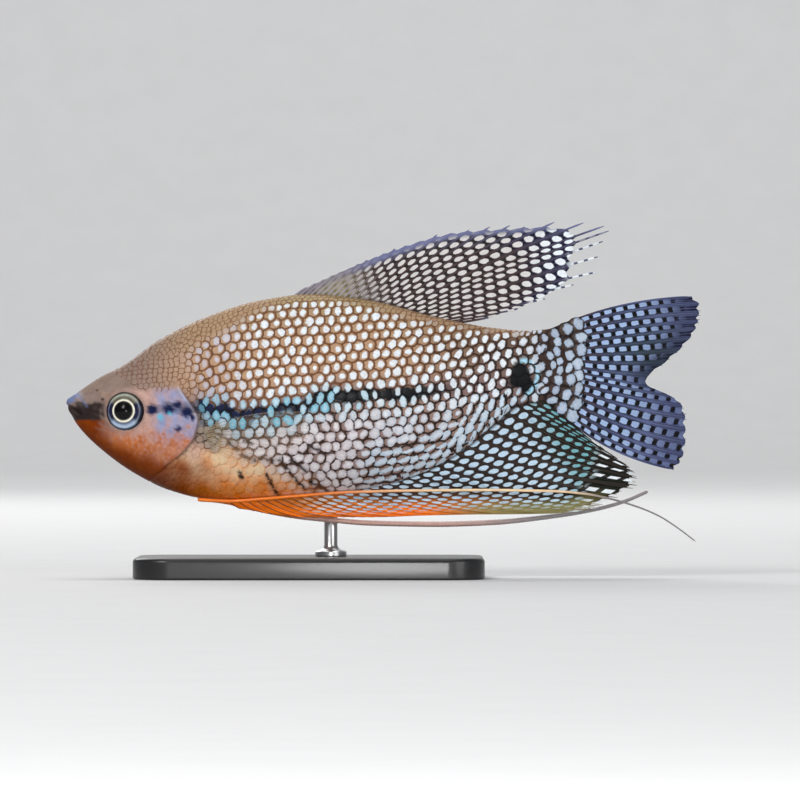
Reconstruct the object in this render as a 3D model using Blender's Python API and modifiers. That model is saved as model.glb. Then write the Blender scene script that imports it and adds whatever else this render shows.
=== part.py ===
"""A male pearl gourami as a still, life-size museum model on a plain display stand.

The fish swims level with its head towards -X and its left side towards -Y. The body is a loft of
sections through a back line, a belly line and a half width, parted by thin cuts into head, gill
covers, torso and tail stalk. Each fin is a sheet spanned by its rays, which stand up as ridges and
end in free tips. The origin is on the floor under the middle of the fish's length.
"""

import math

import bmesh
import bpy
import numpy as np
from mathutils import Vector

MM = 0.001
SEAM = 0.3
TOTAL_LENGTH = 120.0
SNOUT_HEIGHT = 33.0

# The fish's own frame, in millimetres: x runs back from the snout tip, z up from its level.
# Each line of the body is given by the few stations that shape it, as (x, value).
BACK_LINE = ((0, 0), (0.3, 0.75), (0.9, 1.2), (2.2, 2.1), (6.4, 4.9), (11, 7.3), (17.8, 12.1), (26.8, 16.4),
             (36, 19.3), (46, 20.6), (57, 19.5), (70, 16.3), (81, 14.2), (87, 13.7), (94, 14.6))
BELLY_LINE = ((0, 0), (0.3, -0.7), (0.8, -1.6), (1.9, -3.8), (6.4, -8.5), (13.2, -13.4), (20, -16.6),
              (26.8, -18.1), (36.7, -18.3), (49.9, -17.2), (60, -15.6), (67.8, -13.1), (75, -8.9),
              (81.1, -4.0), (86, -0.4), (94, 0.2))
HALF_WIDTH = ((0, 0), (0.3, 0.75), (1, 1.35), (2, 1.9), (4, 2.75), (7, 3.8), (11, 4.95), (15, 5.7), (20, 6.5),
              (27, 7.0), (36, 7.1), (46, 6.7), (56, 5.9), (66, 4.7), (76, 3.3), (84, 2.2), (88, 1.6), (94, 1.0))
WIDEST_LEVEL = ((0, 0), (6, -1.2), (11, -2.0), (20, -1.6), (36, 0), (56, 1.5), (70, 3), (84, 5.8), (94, 7.2))
# How pointed the belly's section is: 1 is an ellipse, and more draws it in to a keel.
BELLY_POINT = ((0, 0.9), (20, 0.95), (36, 1.12), (94, 1.2))

# Rear edge of head and gill covers and front edge of the covers, both as (z, x).
GILL_EDGE = ((-18, 13), (-14.4, 16), (-11.6, 19.2), (-9.1, 22.3), (-6, 24.5), (-3.2, 25.1), (2.6, 21.9),
             (8, 19.5), (14, 17))
COVER_FRONT = ((-11.4, 18.6), (-9.6, 16.3), (-6.2, 15.5), (-2.4, 16.2), (1.4, 18.2), (3.1, 21.3))
COVER_INNER_FACE = 3.4
COVER_REACH = 30.0
COVER_EDGE_POINTS = 12
GILL_EDGE_LIFT = 0.35
STALK_START = 76.0
BODY_END = 89.8
BODY_END_POINT = 1.8

EYE_CENTRE = (11.4, -1.5)
EYE_RADIUS = 3.85
EYE_HALF_THICKNESS = 1.9
EYE_SUNK = 0.9
EYE_TURNED_FORWARD = 12.0
EYE_TIPPED_UP = 3.0
# Each nostril as (x, z, radius), and the lines of the mouth and of the upper lip's rear border.
NOSTRILS = ((5.9, 2.4, 0.34), (7.0, 0.75, 0.42))
MOUTH_CORNER = (2.7, -1.9)
LIP_CREASE = ((1.9, 1.9), (4.4, -0.5))

MEMBRANE = 0.5
RAY_RIDGE = 0.85
RAY_HALF_WIDTH = 0.28
FIN_ROOT = 1.1
RAY_TIP = 0.26
# Where a ray bends most, as a share of its length from its base.
RAY_BEND = 0.5
# Each fin is a fan of rays. A row gives, at share u of the way along its base: the ray's tip (x, z),
# the angle at which the ray leaves the base, and how much of the ray the membrane reaches.
DORSAL_RAYS = 19
DORSAL_BASE = (42.8, 73.0)
DORSAL_FAN = ((0, 45.6, 21.9, 44, 0.98), (0.18, 54, 25.8, 45, 0.98), (0.36, 63.1, 29.6, 45, 0.97),
              (0.5, 75, 32.9, 42, 0.96), (0.6, 85.5, 33.7, 38, 0.95), (0.67, 94.5, 34.3, 33, 0.93),
              (0.72, 102.4, 33.8, 29, 0.85), (0.77, 103, 32.2, 27, 0.83), (0.81, 100.7, 29.2, 24, 0.85),
              (0.86, 100.6, 25, 19, 0.83), (0.9, 96.2, 22.3, 15, 0.86), (0.94, 89.4, 19.2, 10, 0.92),
              (1, 80.7, 16.4, 5, 0.94))
ANAL_RAYS = 24
ANAL_BASE = (30.0, 88.0)
ANAL_FAN = ((0, 33, -20, -52, 0.99), (0.1, 45.5, -21.6, -34, 0.98), (0.2, 59, -21.5, -28, 0.97),
            (0.3, 72, -20.9, -26, 0.96), (0.4, 83, -20.7, -24, 0.95), (0.5, 94, -20.7, -23, 0.93),
            (0.6, 99.8, -19.9, -22, 0.92), (0.7, 104.5, -17.9, -22, 0.9), (0.77, 108.7, -15.1, -21, 0.85),
            (0.83, 105, -13.4, -24, 0.9), (0.9, 104, -11.6, -30, 0.92), (0.95, 100.6, -10.1, -40, 0.95),
            (1, 95, -6.6, -48, 0.97))
LOBE_RAYS = 8
LOBE_SPLIT = 0.45
UPPER_LOBE_FAN = ((0, 118.2, 20.2, 26, 1), (0.14, 120, 18.6, 22, 0.98), (0.28, 119.9, 16.4, 17, 0.97),
                  (0.5, 119.2, 13.9, 9, 0.98), (0.7, 116.6, 10.5, 1, 0.98), (0.85, 113.2, 7.5, -6, 0.98),
                  (1, 110, 4.5, -12, 0.99))
LOWER_LOBE_FAN = ((0, 110, 3.6, -12, 0.99), (0.12, 113.4, 1.9, -14, 0.98), (0.25, 116.4, 0, -18, 0.98),
                  (0.4, 117.3, -2.6, -25, 0.97), (0.6, 117.4, -6.6, -34, 0.97), (0.8, 116.8, -10.4, -43, 0.98),
                  (1, 114.8, -12.6, -49, 1))
PECTORAL_RAYS = 10
PECTORAL_BASE = ((25.9, -5.0), (27.6, -8.6))
PECTORAL_FAN = ((0, 45, -1.6, 24, 0.98), (0.2, 47.2, -3.6, 14, 0.97), (0.4, 46.8, -6.2, 4, 0.97),
                (0.6, 43.6, -8.8, -8, 0.97), (0.8, 38.6, -10.7, -20, 0.97), (1, 33.6, -11.2, -32, 0.98))
PECTORAL_FLARE = 4.2

# The two thread-like pelvic fins as (x, z), each kept beside the body and the anal fin.
LEFT_PELVIC = ((24.9, -18.2), (31, -18.5), (37, -18.1), (44, -17.5), (54, -16.8), (66, -16.5), (79, -16.4),
               (92, -16.6), (98, -17.1), (103, -18.1), (108, -19.6), (112, -21.3), (115.6, -23.6), (118.9, -26.1))
RIGHT_PELVIC = ((24.9, -18.1), (30, -18.7), (34, -19.6), (38, -20.5), (44, -21.5), (50, -22.1), (58, -22.7),
                (70, -22.9), (80, -22.6), (92, -21.4), (100, -20.1), (105.5, -18.6), (110, -16.7))
LEFT_PELVIC_RADII = (0.36, 0.27, 0.26, 0.12)
RIGHT_PELVIC_RADII = (0.36, 0.5, 0.52, 0.3)
PELVIC_POINTS = 26
PELVIC_CLEARANCE = 0.45
BESIDE_ANAL_FIN = 1.25

STAND_CENTRE = 46.0
STAND_LENGTH = 66.0
STAND_WIDTH = 36.0
STAND_THICKNESS = 4.0
STAND_CORNER = 7.0
STAND_CHAMFER = 0.8
ROD_PLACE = (50.0, 3.4)
ROD_RADIUS = 1.25
ROD_FOOT_RADIUS = 3.0
ROD_FOOT_HEIGHT = 1.0

AROUND = 44
HEAD_RINGS = 26
TORSO_RINGS = 18
STALK_RINGS = 6
WEB_ROWS = 5

# Colour, roughness and metallic value of each material.
MATERIALS = {
    "head": ((0.36, 0.24, 0.16), 0.4, 0),
    "flank": ((0.47, 0.37, 0.3), 0.35, 0),
    "fin": ((0.27, 0.27, 0.32), 0.4, 0),
    "anal fin": ((0.6, 0.3, 0.12), 0.4, 0),
    "clear fin": ((0.6, 0.58, 0.42), 0.3, 0),
    "orange thread": ((0.85, 0.3, 0.06), 0.4, 0),
    "mauve thread": ((0.3, 0.26, 0.27), 0.4, 0),
    "eye": ((0.3, 0.3, 0.24), 0.12, 0),
    "dark base": ((0.03, 0.03, 0.033), 0.35, 0),
    "steel": ((0.6, 0.6, 0.6), 0.25, 1),
}


def smooth_line(stations, at):
    """Value at each place on the smooth line through the stations, which never overshoots them."""
    x, y = np.array(stations, float).T
    step = np.diff(x)
    slope = np.diff(y) / step
    same_way = slope[:-1] * slope[1:] > 0
    both = np.where(same_way, slope[:-1] + slope[1:], 1)
    tangent = np.concatenate([slope[:1], np.where(same_way, 2 * slope[:-1] * slope[1:] / both, 0), slope[-1:]])
    at = np.asarray(at, float)
    i = np.clip(np.searchsorted(x, at) - 1, 0, len(slope) - 1)
    t = np.clip((at - x[i]) / step[i], 0, 1)
    held = (2 * t**3 - 3 * t**2 + 1) * y[i] + (3 * t**2 - 2 * t**3) * y[i + 1]
    return held + step[i] * ((t**3 - 2 * t**2 + t) * tangent[i] + (t**3 - t**2) * tangent[i + 1])


def section(x, angle, grow=0.0):
    """Point (y, z) of the body's section at x. The angle is 0 at the back and pi at the belly."""
    level = smooth_line(WIDEST_LEVEL, x)
    upper = smooth_line(BACK_LINE, x) + grow - level
    lower = level - smooth_line(BELLY_LINE, x) + grow
    half = smooth_line(HALF_WIDTH, x) + grow
    cosine, sine = np.cos(angle), np.sin(angle)
    point = np.where(cosine > 0, 1.0, smooth_line(BELLY_POINT, x))
    y = -half * np.sign(sine) * np.abs(sine) ** point
    return y, level + np.where(cosine > 0, upper, lower) * cosine


def flank_half_width(x, z):
    """Half width of the body at height z, and 0 above the back or below the belly."""
    level = smooth_line(WIDEST_LEVEL, x)
    reach = np.where(z > level, smooth_line(BACK_LINE, x) - level, level - smooth_line(BELLY_LINE, x))
    sine = np.sqrt(np.clip(1 - ((z - level) / reach) ** 2, 0, 1))
    return smooth_line(HALF_WIDTH, x) * sine ** np.where(z > level, 1.0, smooth_line(BELLY_POINT, x))


def distance_to_run(x, z, start, end):
    """Distance in the side view from each point to a straight run."""
    along = np.array(end, float) - np.array(start, float)
    share = np.clip(((x - start[0]) * along[0] + (z - start[1]) * along[1]) / (along @ along), 0, 1)
    return np.hypot(x - start[0] - share * along[0], z - start[1] - share * along[1])


def head_relief(x, z):
    """How far the head's skin stands out: lips, the line of the mouth, the eye's rim, the gill edge."""
    to_mouth = distance_to_run(x, z, (0, 0), MOUTH_CORNER)
    to_crease = distance_to_run(x, z, *LIP_CREASE)
    to_eye = np.hypot(x - EYE_CENTRE[0], z - EYE_CENTRE[1]) - EYE_RADIUS
    lips = 0.22 * np.exp(-(((to_mouth - 0.85) / 0.5) ** 2)) * np.clip(x / 0.8, 0, 1)
    mouth = -0.4 * np.exp(-((to_mouth / 0.38) ** 2)) * np.clip(x / 0.5, 0, 1)
    crease = -0.2 * np.exp(-((to_crease / 0.4) ** 2))
    rim = 0.22 * np.exp(-((to_eye / 0.6) ** 2))
    behind = smooth_line(GILL_EDGE, z) - x
    on_cover = np.clip((z + 13) / 3, 0, 1) * np.clip((4.5 - z) / 3, 0, 1)
    return lips + mouth + crease + rim + GILL_EDGE_LIFT * np.exp(-((behind / 1.6) ** 2)) * on_cover


def no_relief(x, z):
    return np.zeros_like(z)


def gill_edge_at(angle):
    """Where the head ends at each angle round the section, so that the cut follows the gill edge."""
    x = np.full_like(angle, 20.0)
    for _ in range(40):
        x = 0.5 * x + 0.5 * smooth_line(GILL_EDGE, section(x, angle)[1])
    return x


def body_end_at(angle):
    return BODY_END + BODY_END_POINT * (1 - np.abs(np.cos(angle)))


def to_world(x, y, z):
    x, y, z = np.broadcast_arrays(x - TOTAL_LENGTH / 2, y, z + SNOUT_HEIGHT)
    return np.stack([x, y, z], axis=-1) * MM


def object_of(name, bm, material=None):
    mesh = bpy.data.meshes.new(name)
    bm.to_mesh(mesh)
    bm.free()
    mesh.shade_smooth()
    mesh.set_sharp_from_angle(angle=math.radians(50))
    return placed(bpy.data.objects.new(name, mesh), material)


def placed(obj, material):
    """The object in the fish's collection with its material, or a cutter in the cutters' collection."""
    if material is None:
        bpy.data.collections["cutters"].objects.link(obj)
        obj.display_type = "WIRE"
        obj.hide_render = True
    else:
        bpy.data.collections["pearl gourami"].objects.link(obj)
        obj.data.materials.append(material_of(material))
    return obj


def material_of(name):
    if name not in bpy.data.materials:
        colour, roughness, metallic = MATERIALS[name]
        material = bpy.data.materials.new(name)
        material.use_nodes = True
        shader = material.node_tree.nodes["Principled BSDF"]
        shader.inputs["Base Color"].default_value = (*colour, 1)
        shader.inputs["Roughness"].default_value = roughness
        shader.inputs["Metallic"].default_value = metallic
    return bpy.data.materials[name]


def body_piece(name, material, starts, ends, rings, relief=no_relief, gather=1.0, grow=0.0):
    """Closed loft of the body between two edges, each given as x at every angle round the section.

    Each end is closed by a fan to a point level with its flanks, or is a point itself at the snout.
    """
    angle = np.arange(AROUND) / AROUND * 2 * math.pi
    share = np.linspace(0, 1, rings + 1)[:, None] ** gather
    x = starts(angle) + (ends(angle) - starts(angle)) * share
    turn = np.broadcast_to(angle, x.shape)
    y, z = section(x, turn, grow)
    step = 1e-3
    ahead_y, ahead_z = section(x + step, turn, grow)
    round_y, round_z = section(x, turn + step, grow)
    along = np.stack([np.full_like(x, step), ahead_y - y, ahead_z - z], -1)
    across = np.stack([np.zeros_like(x), round_y - y, round_z - z], -1)
    normal = np.cross(across, along)
    normal /= np.linalg.norm(normal, axis=-1, keepdims=True) + 1e-12
    out = normal * relief(x, z)[..., None]
    points = to_world(x + out[..., 0], y + out[..., 1], z + out[..., 2])
    bm = bmesh.new()
    rows = [[bm.verts.new(p) for p in ring] for ring in points]
    for one, other in zip(rows, rows[1:]):
        for i in range(AROUND):
            j = (i + 1) % AROUND
            bm.faces.new((one[i], one[j], other[j], other[i]))
    for ring, edge in ((0, starts), (-1, ends)):
        middle_x = edge(np.array([math.pi / 2]))[0]
        if middle_x > 0:
            middle = bm.verts.new(to_world(middle_x, 0, smooth_line(WIDEST_LEVEL, middle_x)))
            for i in range(AROUND):
                bm.faces.new((middle, rows[ring][i], rows[ring][(i + 1) % AROUND]))
    bmesh.ops.remove_doubles(bm, verts=bm.verts, dist=1e-6)
    bmesh.ops.recalc_face_normals(bm, faces=bm.faces)
    return object_of(name, bm, material)


def eye_place(side):
    """Location and turn of an eye, sunk into the head's flank and facing a little forward and up."""
    x, z = EYE_CENTRE
    y = side * (flank_half_width(x, z) - EYE_SUNK)
    turn = (math.radians(90 + EYE_TIPPED_UP * side), 0, math.radians(EYE_TURNED_FORWARD * side))
    return to_world(x, y, z), turn


def eyeball(name, material, side, grow=0.0):
    """Flattened ball whose short axis points out of the head."""
    bm = bmesh.new()
    bmesh.ops.create_uvsphere(bm, u_segments=20, v_segments=10, radius=1)
    wide, thick = (EYE_RADIUS + grow) * MM, (EYE_HALF_THICKNESS + grow) * MM
    bmesh.ops.scale(bm, vec=(wide, wide, thick), verts=bm.verts)
    ball = object_of(name, bm, material)
    ball.location, ball.rotation_euler = eye_place(side)
    return ball


def nostril_cutter(x, z, radius, side):
    bm = bmesh.new()
    bmesh.ops.create_uvsphere(bm, u_segments=8, v_segments=6, radius=radius * MM)
    cutter = object_of("nostril", bm)
    cutter.location = to_world(x, side * flank_half_width(x, z), z)
    return cutter


def cover_shape(name, side, gap=0.0):
    """Prism that holds one gill cover: its front edge in the side view, and all behind it."""
    lowest, highest = COVER_FRONT[0][0] - gap, COVER_FRONT[-1][0] + gap
    heights = np.linspace(lowest, highest, COVER_EDGE_POINTS)
    outline = [(smooth_line(COVER_FRONT, z) - gap, z) for z in heights]
    outline += [(COVER_REACH, highest), (COVER_REACH, lowest)]
    inner = side * (COVER_INNER_FACE - gap)
    bm = bmesh.new()
    face = bm.faces.new([bm.verts.new(to_world(x, inner, z)) for x, z in outline])
    grown = bmesh.ops.extrude_face_region(bm, geom=[face])["geom"]
    outward = [v for v in grown if isinstance(v, bmesh.types.BMVert)]
    bmesh.ops.translate(bm, verts=outward, vec=(0, side * COVER_REACH * MM, 0))
    bmesh.ops.recalc_face_normals(bm, faces=bm.faces)
    return object_of(name, bm)


def cut(obj, cutters, operation="DIFFERENCE"):
    for cutter in cutters:
        boolean = obj.modifiers.new(cutter.name, "BOOLEAN")
        boolean.operation = operation
        boolean.object = cutter


def snout_tip(angle):
    return np.zeros_like(angle)


def head_loft(name, material):
    ends = lambda angle: gill_edge_at(angle) - SEAM / 2
    return body_piece(name, material, snout_tip, ends, HEAD_RINGS, head_relief, 1.5)


def build_head():
    head = head_loft("head", "head")
    for side, word in ((-1, "left"), (1, "right")):
        eyeball(f"eye_{word}", "eye", side)
        sockets = [eyeball(f"socket_{word}", None, side, SEAM)]
        pits = [nostril_cutter(*nostril, side) for nostril in NOSTRILS]
        cut(head, sockets + pits + [cover_shape(f"cover_room_{word}", side, SEAM)])
        cut(head_loft(f"gill_cover_{word}", "head"), [cover_shape(f"cover_{word}", side)], "INTERSECT")


def build_trunk():
    stalk_start = lambda angle: np.full_like(angle, STALK_START + SEAM / 2)
    torso_end = lambda angle: stalk_start(angle) - SEAM
    torso_start = lambda angle: gill_edge_at(angle) + SEAM / 2
    body_piece("torso", "flank", torso_start, torso_end, TORSO_RINGS)
    body_piece("tail_stalk", "flank", stalk_start, body_end_at, STALK_RINGS)


def back_base(u):
    """Place of a ray's root on the back, a seam above it."""
    x = DORSAL_BASE[0] + (DORSAL_BASE[1] - DORSAL_BASE[0]) * u
    return np.stack([x, smooth_line(BACK_LINE, x) + SEAM], -1)


def belly_base(u):
    """Place of a ray's root along the belly, a seam off it."""
    x = ANAL_BASE[0] + (ANAL_BASE[1] - ANAL_BASE[0]) * u
    slope = (smooth_line(BELLY_LINE, x + 0.1) - smooth_line(BELLY_LINE, x - 0.1)) / 0.2
    out = (SEAM + 0.05) / np.hypot(1, slope)
    return np.stack([x + out * slope, smooth_line(BELLY_LINE, x) - out], -1)


def tail_base(start, end):
    """Places of rays' roots down the pointed end of the body, from one height to the other."""
    def base(u):
        z = start + (end - start) * u
        reach = np.where(z > TAIL_LEVEL, TAIL_TOP - TAIL_LEVEL, TAIL_LEVEL - TAIL_BOTTOM)
        return np.stack([BODY_END + BODY_END_POINT * (1 - np.abs(z - TAIL_LEVEL) / reach) + SEAM, z], -1)
    return base


def straight_base(u):
    start, end = np.array(PECTORAL_BASE)
    return start + (end - start) * np.asarray(u)[..., None]


TAIL_LEVEL = float(smooth_line(WIDEST_LEVEL, BODY_END + BODY_END_POINT))
TAIL_TOP = float(smooth_line(BACK_LINE, BODY_END))
TAIL_BOTTOM = float(smooth_line(BELLY_LINE, BODY_END))


def fin(name, material, rays, base, fan, aside, root=FIN_ROOT):
    """Fin as one sheet of rays and membrane, which Solidify thickens most along the rays.

    Each ray is a curve from its base that starts at its lean and ends at its tip. It carries three
    columns of points, its crest and a foot on each side. Past the membrane only the rays go on,
    each narrowing to its own tip. aside(x, z, share) gives the sheet's place in y.
    """
    u = np.linspace(0, 1, rays)
    tip_x, tip_z, lean, web = (smooth_line([(row[0], row[k]) for row in fan], u) for k in (1, 2, 3, 4))
    start, tip, lean = base(u), np.stack([tip_x, tip_z], -1), np.radians(lean)
    length = np.linalg.norm(tip - start, axis=-1, keepdims=True)
    bend = start + RAY_BEND * length * np.stack([np.cos(lean), np.sin(lean)], -1)
    share = np.concatenate([np.linspace(0, 1, WEB_ROWS + 1)[:, None] * web, (1 + web)[None] / 2, np.ones((1, rays))])
    t = share[..., None]
    crest = (1 - t) ** 2 * start + 2 * t * (1 - t) * bend + t**2 * tip
    gap = np.diff(crest, axis=1)
    before = -np.concatenate([gap[:, :1], gap], axis=1)
    after = np.concatenate([gap, gap[:, -1:]], axis=1)
    apart = [np.linalg.norm(way, axis=-1, keepdims=True) + 1e-9 for way in (before, after)]
    half = np.minimum(RAY_HALF_WIDTH, 0.32 * np.minimum(*apart))
    half = half * np.array([1.0] * (WEB_ROWS + 1) + [0.7, 0.0])[:, None, None]
    columns = np.stack([crest + before / apart[0] * half, crest, crest + after / apart[1] * half], axis=2)
    columns = columns.reshape(len(share), 3 * rays, 2)
    share = np.repeat(share, 3, axis=1)
    x, z = columns[..., 0], columns[..., 1]
    points = to_world(x, aside(x, z, share), z)
    crests = np.tile([0.0, 1.0, 0.0], rays)
    thick = MEMBRANE + (RAY_RIDGE - MEMBRANE) * crests + (root - RAY_RIDGE) * np.clip(1 - share / 0.25, 0, 1)
    fade = np.array([1.0] * (WEB_ROWS + 1) + [0.75, 0.0])[:, None]
    thick = RAY_TIP + (thick - RAY_TIP) * fade
    return solid_sheet(name, material, points, thick)


def solid_sheet(name, material, points, thick):
    """Sheet of a fin's columns, open between the ray tips, thickened about its middle."""
    bm = bmesh.new()
    weight = bm.verts.layers.deform.verify()
    rows = [[bm.verts.new(p) for p in row] for row in points]
    most = thick.max()
    for row, row_thick in zip(rows, thick):
        for vert, value in zip(row, row_thick):
            vert[weight][0] = float(value / most)
    for r, (one, other) in enumerate(zip(rows, rows[1:])):
        for c in range(len(one) - 1):
            if r < WEB_ROWS or c % 3 != 2:
                bm.faces.new((one[c], one[c + 1], other[c + 1], other[c]))
    bmesh.ops.remove_doubles(bm, verts=bm.verts, dist=1e-6)
    bmesh.ops.triangulate(bm, faces=bm.faces)
    sheet = object_of(name, bm, material)
    sheet.vertex_groups.new(name="thickness")
    shell = sheet.modifiers.new("thickness", "SOLIDIFY")
    shell.thickness = float(most) * MM
    shell.offset = 0
    shell.vertex_group = "thickness"
    return sheet


def build_fins():
    wave = lambda start, length, height: lambda x, z, share: height * np.sin((x - start) / length) * share
    fin("dorsal_fin", "fin", DORSAL_RAYS, back_base, DORSAL_FAN, wave(42, 11, 0.7))
    fin("anal_fin", "anal fin", ANAL_RAYS, belly_base, ANAL_FAN, lambda x, z, share: 0 * share)
    upper = tail_base(TAIL_TOP - 0.5, TAIL_LEVEL + LOBE_SPLIT)
    lower = tail_base(TAIL_LEVEL - LOBE_SPLIT, TAIL_BOTTOM + 0.1)
    fin("caudal_fin_upper_lobe", "fin", LOBE_RAYS, upper, UPPER_LOBE_FAN, wave(90, 9, 0.6))
    fin("caudal_fin_lower_lobe", "fin", LOBE_RAYS, lower, LOWER_LOBE_FAN, wave(90, 9, 0.6))
    for side, word in ((-1, "left"), (1, "right")):
        beside = lambda x, z, share, side=side: side * (flank_half_width(x, z) + SEAM + 0.55
                                                       + PECTORAL_FLARE * share**1.3)
        fin(f"pectoral_fin_{word}", "clear fin", PECTORAL_RAYS, straight_base, PECTORAL_FAN, beside)


def thread(name, material, route, radii, side):
    """Thread-like fin: a tapering tube along a smooth route that keeps clear of body and anal fin."""
    x = np.linspace(route[0][0], route[-1][0], PELVIC_POINTS)
    z = smooth_line(route, x)
    radius = np.interp(np.linspace(0, 1, PELVIC_POINTS), np.linspace(0, 1, len(radii)), radii)
    y = side * np.maximum(flank_half_width(x, z + radius) + radius + PELVIC_CLEARANCE, BESIDE_ANAL_FIN)
    curve = bpy.data.curves.new(name, "CURVE")
    curve.dimensions = "3D"
    curve.bevel_depth = MM
    curve.bevel_resolution = 1
    curve.use_fill_caps = True
    line = curve.splines.new("POLY")
    line.points.add(PELVIC_POINTS - 1)
    for point, place, thickness in zip(line.points, to_world(x, y, z), radius):
        point.co = (*place, 1)
        point.radius = float(thickness)
    return placed(bpy.data.objects.new(name, curve), material)


def build_stand():
    """Flat base with rounded corners, and one turned rod whose top follows the fish's underside."""
    bm = bmesh.new()
    bmesh.ops.create_cube(bm, size=1)
    bmesh.ops.scale(bm, vec=Vector((STAND_LENGTH, STAND_WIDTH, STAND_THICKNESS)) * MM, verts=bm.verts)
    upright = [e for e in bm.edges if abs(e.verts[0].co.z - e.verts[1].co.z) > MM]
    bmesh.ops.bevel(bm, geom=upright, offset=STAND_CORNER * MM, segments=6, profile=0.5, affect="EDGES")
    rim = [e for e in bm.edges if all(v.co.z > MM for v in e.verts)]
    bmesh.ops.bevel(bm, geom=rim, offset=STAND_CHAMFER * MM, segments=2, profile=0.5, affect="EDGES")
    base = object_of("stand_base", bm, "dark base")
    base.location = ((STAND_CENTRE - TOTAL_LENGTH / 2) * MM, 0, STAND_THICKNESS / 2 * MM)

    bm = bmesh.new()
    foot = STAND_THICKNESS + SEAM
    shoulder = foot + ROD_FOOT_HEIGHT
    profile = ((0, SNOUT_HEIGHT), (ROD_RADIUS, SNOUT_HEIGHT), (ROD_RADIUS, shoulder + 0.6),
               (ROD_RADIUS + 0.6, shoulder), (ROD_FOOT_RADIUS, shoulder - 0.3), (ROD_FOOT_RADIUS, foot), (0, foot))
    verts = [bm.verts.new((radius * MM, 0, height * MM)) for radius, height in profile]
    for one, other in zip(verts, verts[1:]):
        bm.edges.new((one, other))
    rod = object_of("stand_rod", bm, "steel")
    rod.location = ((ROD_PLACE[0] - TOTAL_LENGTH / 2) * MM, ROD_PLACE[1] * MM, 0)
    turning = rod.modifiers.new("turning", "SCREW")
    turning.steps = turning.render_steps = 20
    turning.use_merge_vertices = True
    turning.merge_threshold = 1e-5
    near = lambda reach: lambda angle: np.full_like(angle, ROD_PLACE[0] + reach)
    room = body_piece("rod_room", None, near(-8), near(8), 8, grow=SEAM)
    cut(rod, [room])


def main():
    for obj in list(bpy.data.objects):
        bpy.data.objects.remove(obj, do_unlink=True)
    for name in ("pearl gourami", "cutters"):
        bpy.context.scene.collection.children.link(bpy.data.collections.new(name))
    build_head()
    build_trunk()
    build_fins()
    thread("pelvic_fin_left", "orange thread", LEFT_PELVIC, LEFT_PELVIC_RADII, -1)
    thread("pelvic_fin_right", "mauve thread", RIGHT_PELVIC, RIGHT_PELVIC_RADII, 1)
    build_stand()


main()
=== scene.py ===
"""Looks of the pearl gourami: one skin, overlapping scales, fine rayed fins, eyes, stand and stage.

The fish's own frame is in millimetres: x runs back from the snout tip, z up from its level, and the
left side is towards -y. The body is a loft of sections through a back line, a belly line and a half
width. Its flank is also read unrolled, as x and the arc length round the section from its widest
level, so that scales keep their size where the body curves away.
"""

import math

import bpy
import numpy as np
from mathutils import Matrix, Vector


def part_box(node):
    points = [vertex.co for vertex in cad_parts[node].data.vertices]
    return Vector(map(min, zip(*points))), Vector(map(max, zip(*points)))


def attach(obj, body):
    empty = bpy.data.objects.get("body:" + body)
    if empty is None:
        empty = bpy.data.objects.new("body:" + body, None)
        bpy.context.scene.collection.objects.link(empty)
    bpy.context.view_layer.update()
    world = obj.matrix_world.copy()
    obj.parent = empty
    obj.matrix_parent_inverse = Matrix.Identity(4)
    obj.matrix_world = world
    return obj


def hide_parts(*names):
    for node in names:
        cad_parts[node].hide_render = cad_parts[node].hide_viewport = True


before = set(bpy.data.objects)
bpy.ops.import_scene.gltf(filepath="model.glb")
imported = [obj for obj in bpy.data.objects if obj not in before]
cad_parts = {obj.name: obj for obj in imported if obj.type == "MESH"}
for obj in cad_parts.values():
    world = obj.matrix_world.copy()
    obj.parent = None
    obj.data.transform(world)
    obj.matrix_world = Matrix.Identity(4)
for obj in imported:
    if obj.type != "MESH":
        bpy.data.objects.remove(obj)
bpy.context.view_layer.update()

bl_info = {
    "name": "Pearl gourami",
    "version": (1, 0, 0),
    "blender": (4, 5, 0),
    "location": "3D view > Sidebar > Pearl gourami",
    "description": "Builds the skin, scales, fins, eyes, stand and stage of a pearl gourami model",
    "category": "Add Mesh",
}

MM = 0.001
SIDES = (("left", -1), ("right", 1))
TOTAL_LENGTH = 120.0
SNOUT_HEIGHT = 33.0
STAND_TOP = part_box("stand_base")[1].z / MM

BACK_LINE = ((0, 0), (0.3, 0.75), (0.9, 1.2), (2.2, 2.1), (6.4, 4.9), (11, 7.3), (17.8, 12.1), (26.8, 16.4),
             (36, 19.3), (46, 20.6), (57, 19.5), (70, 16.3), (81, 14.2), (87, 13.7), (94, 14.6), (96, 15.0))
BELLY_LINE = ((0, 0), (0.3, -0.7), (0.8, -1.6), (1.9, -3.8), (6.4, -8.5), (13.2, -13.4), (20, -16.6),
              (26.8, -18.1), (36.7, -18.3), (49.9, -17.2), (60, -15.6), (67.8, -13.1), (75, -8.9),
              (81.1, -4.0), (86, -0.4), (94, 0.2), (96, 0.2))
HALF_WIDTH = ((0, 0), (0.3, 0.75), (1, 1.35), (2, 1.9), (4, 2.75), (7, 3.8), (11, 4.95), (15, 5.7), (20, 6.5),
              (27, 7.0), (36, 7.1), (46, 6.7), (56, 5.9), (66, 4.7), (76, 3.3), (84, 2.2), (88, 1.6),
              (91.5, 1.05), (94.5, 0.6), (96, 0.4))
WIDEST_LEVEL = ((0, 0), (6, -1.2), (11, -2.0), (20, -1.6), (36, 0), (56, 1.5), (70, 3), (84, 5.8), (94, 7.2),
                (96, 7.4))
BELLY_POINT = ((0, 0.9), (20, 0.95), (36, 1.12), (94, 1.2))
BODY_REACH = 93.2
BODY_REACH_POINT = 1.6

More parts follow.
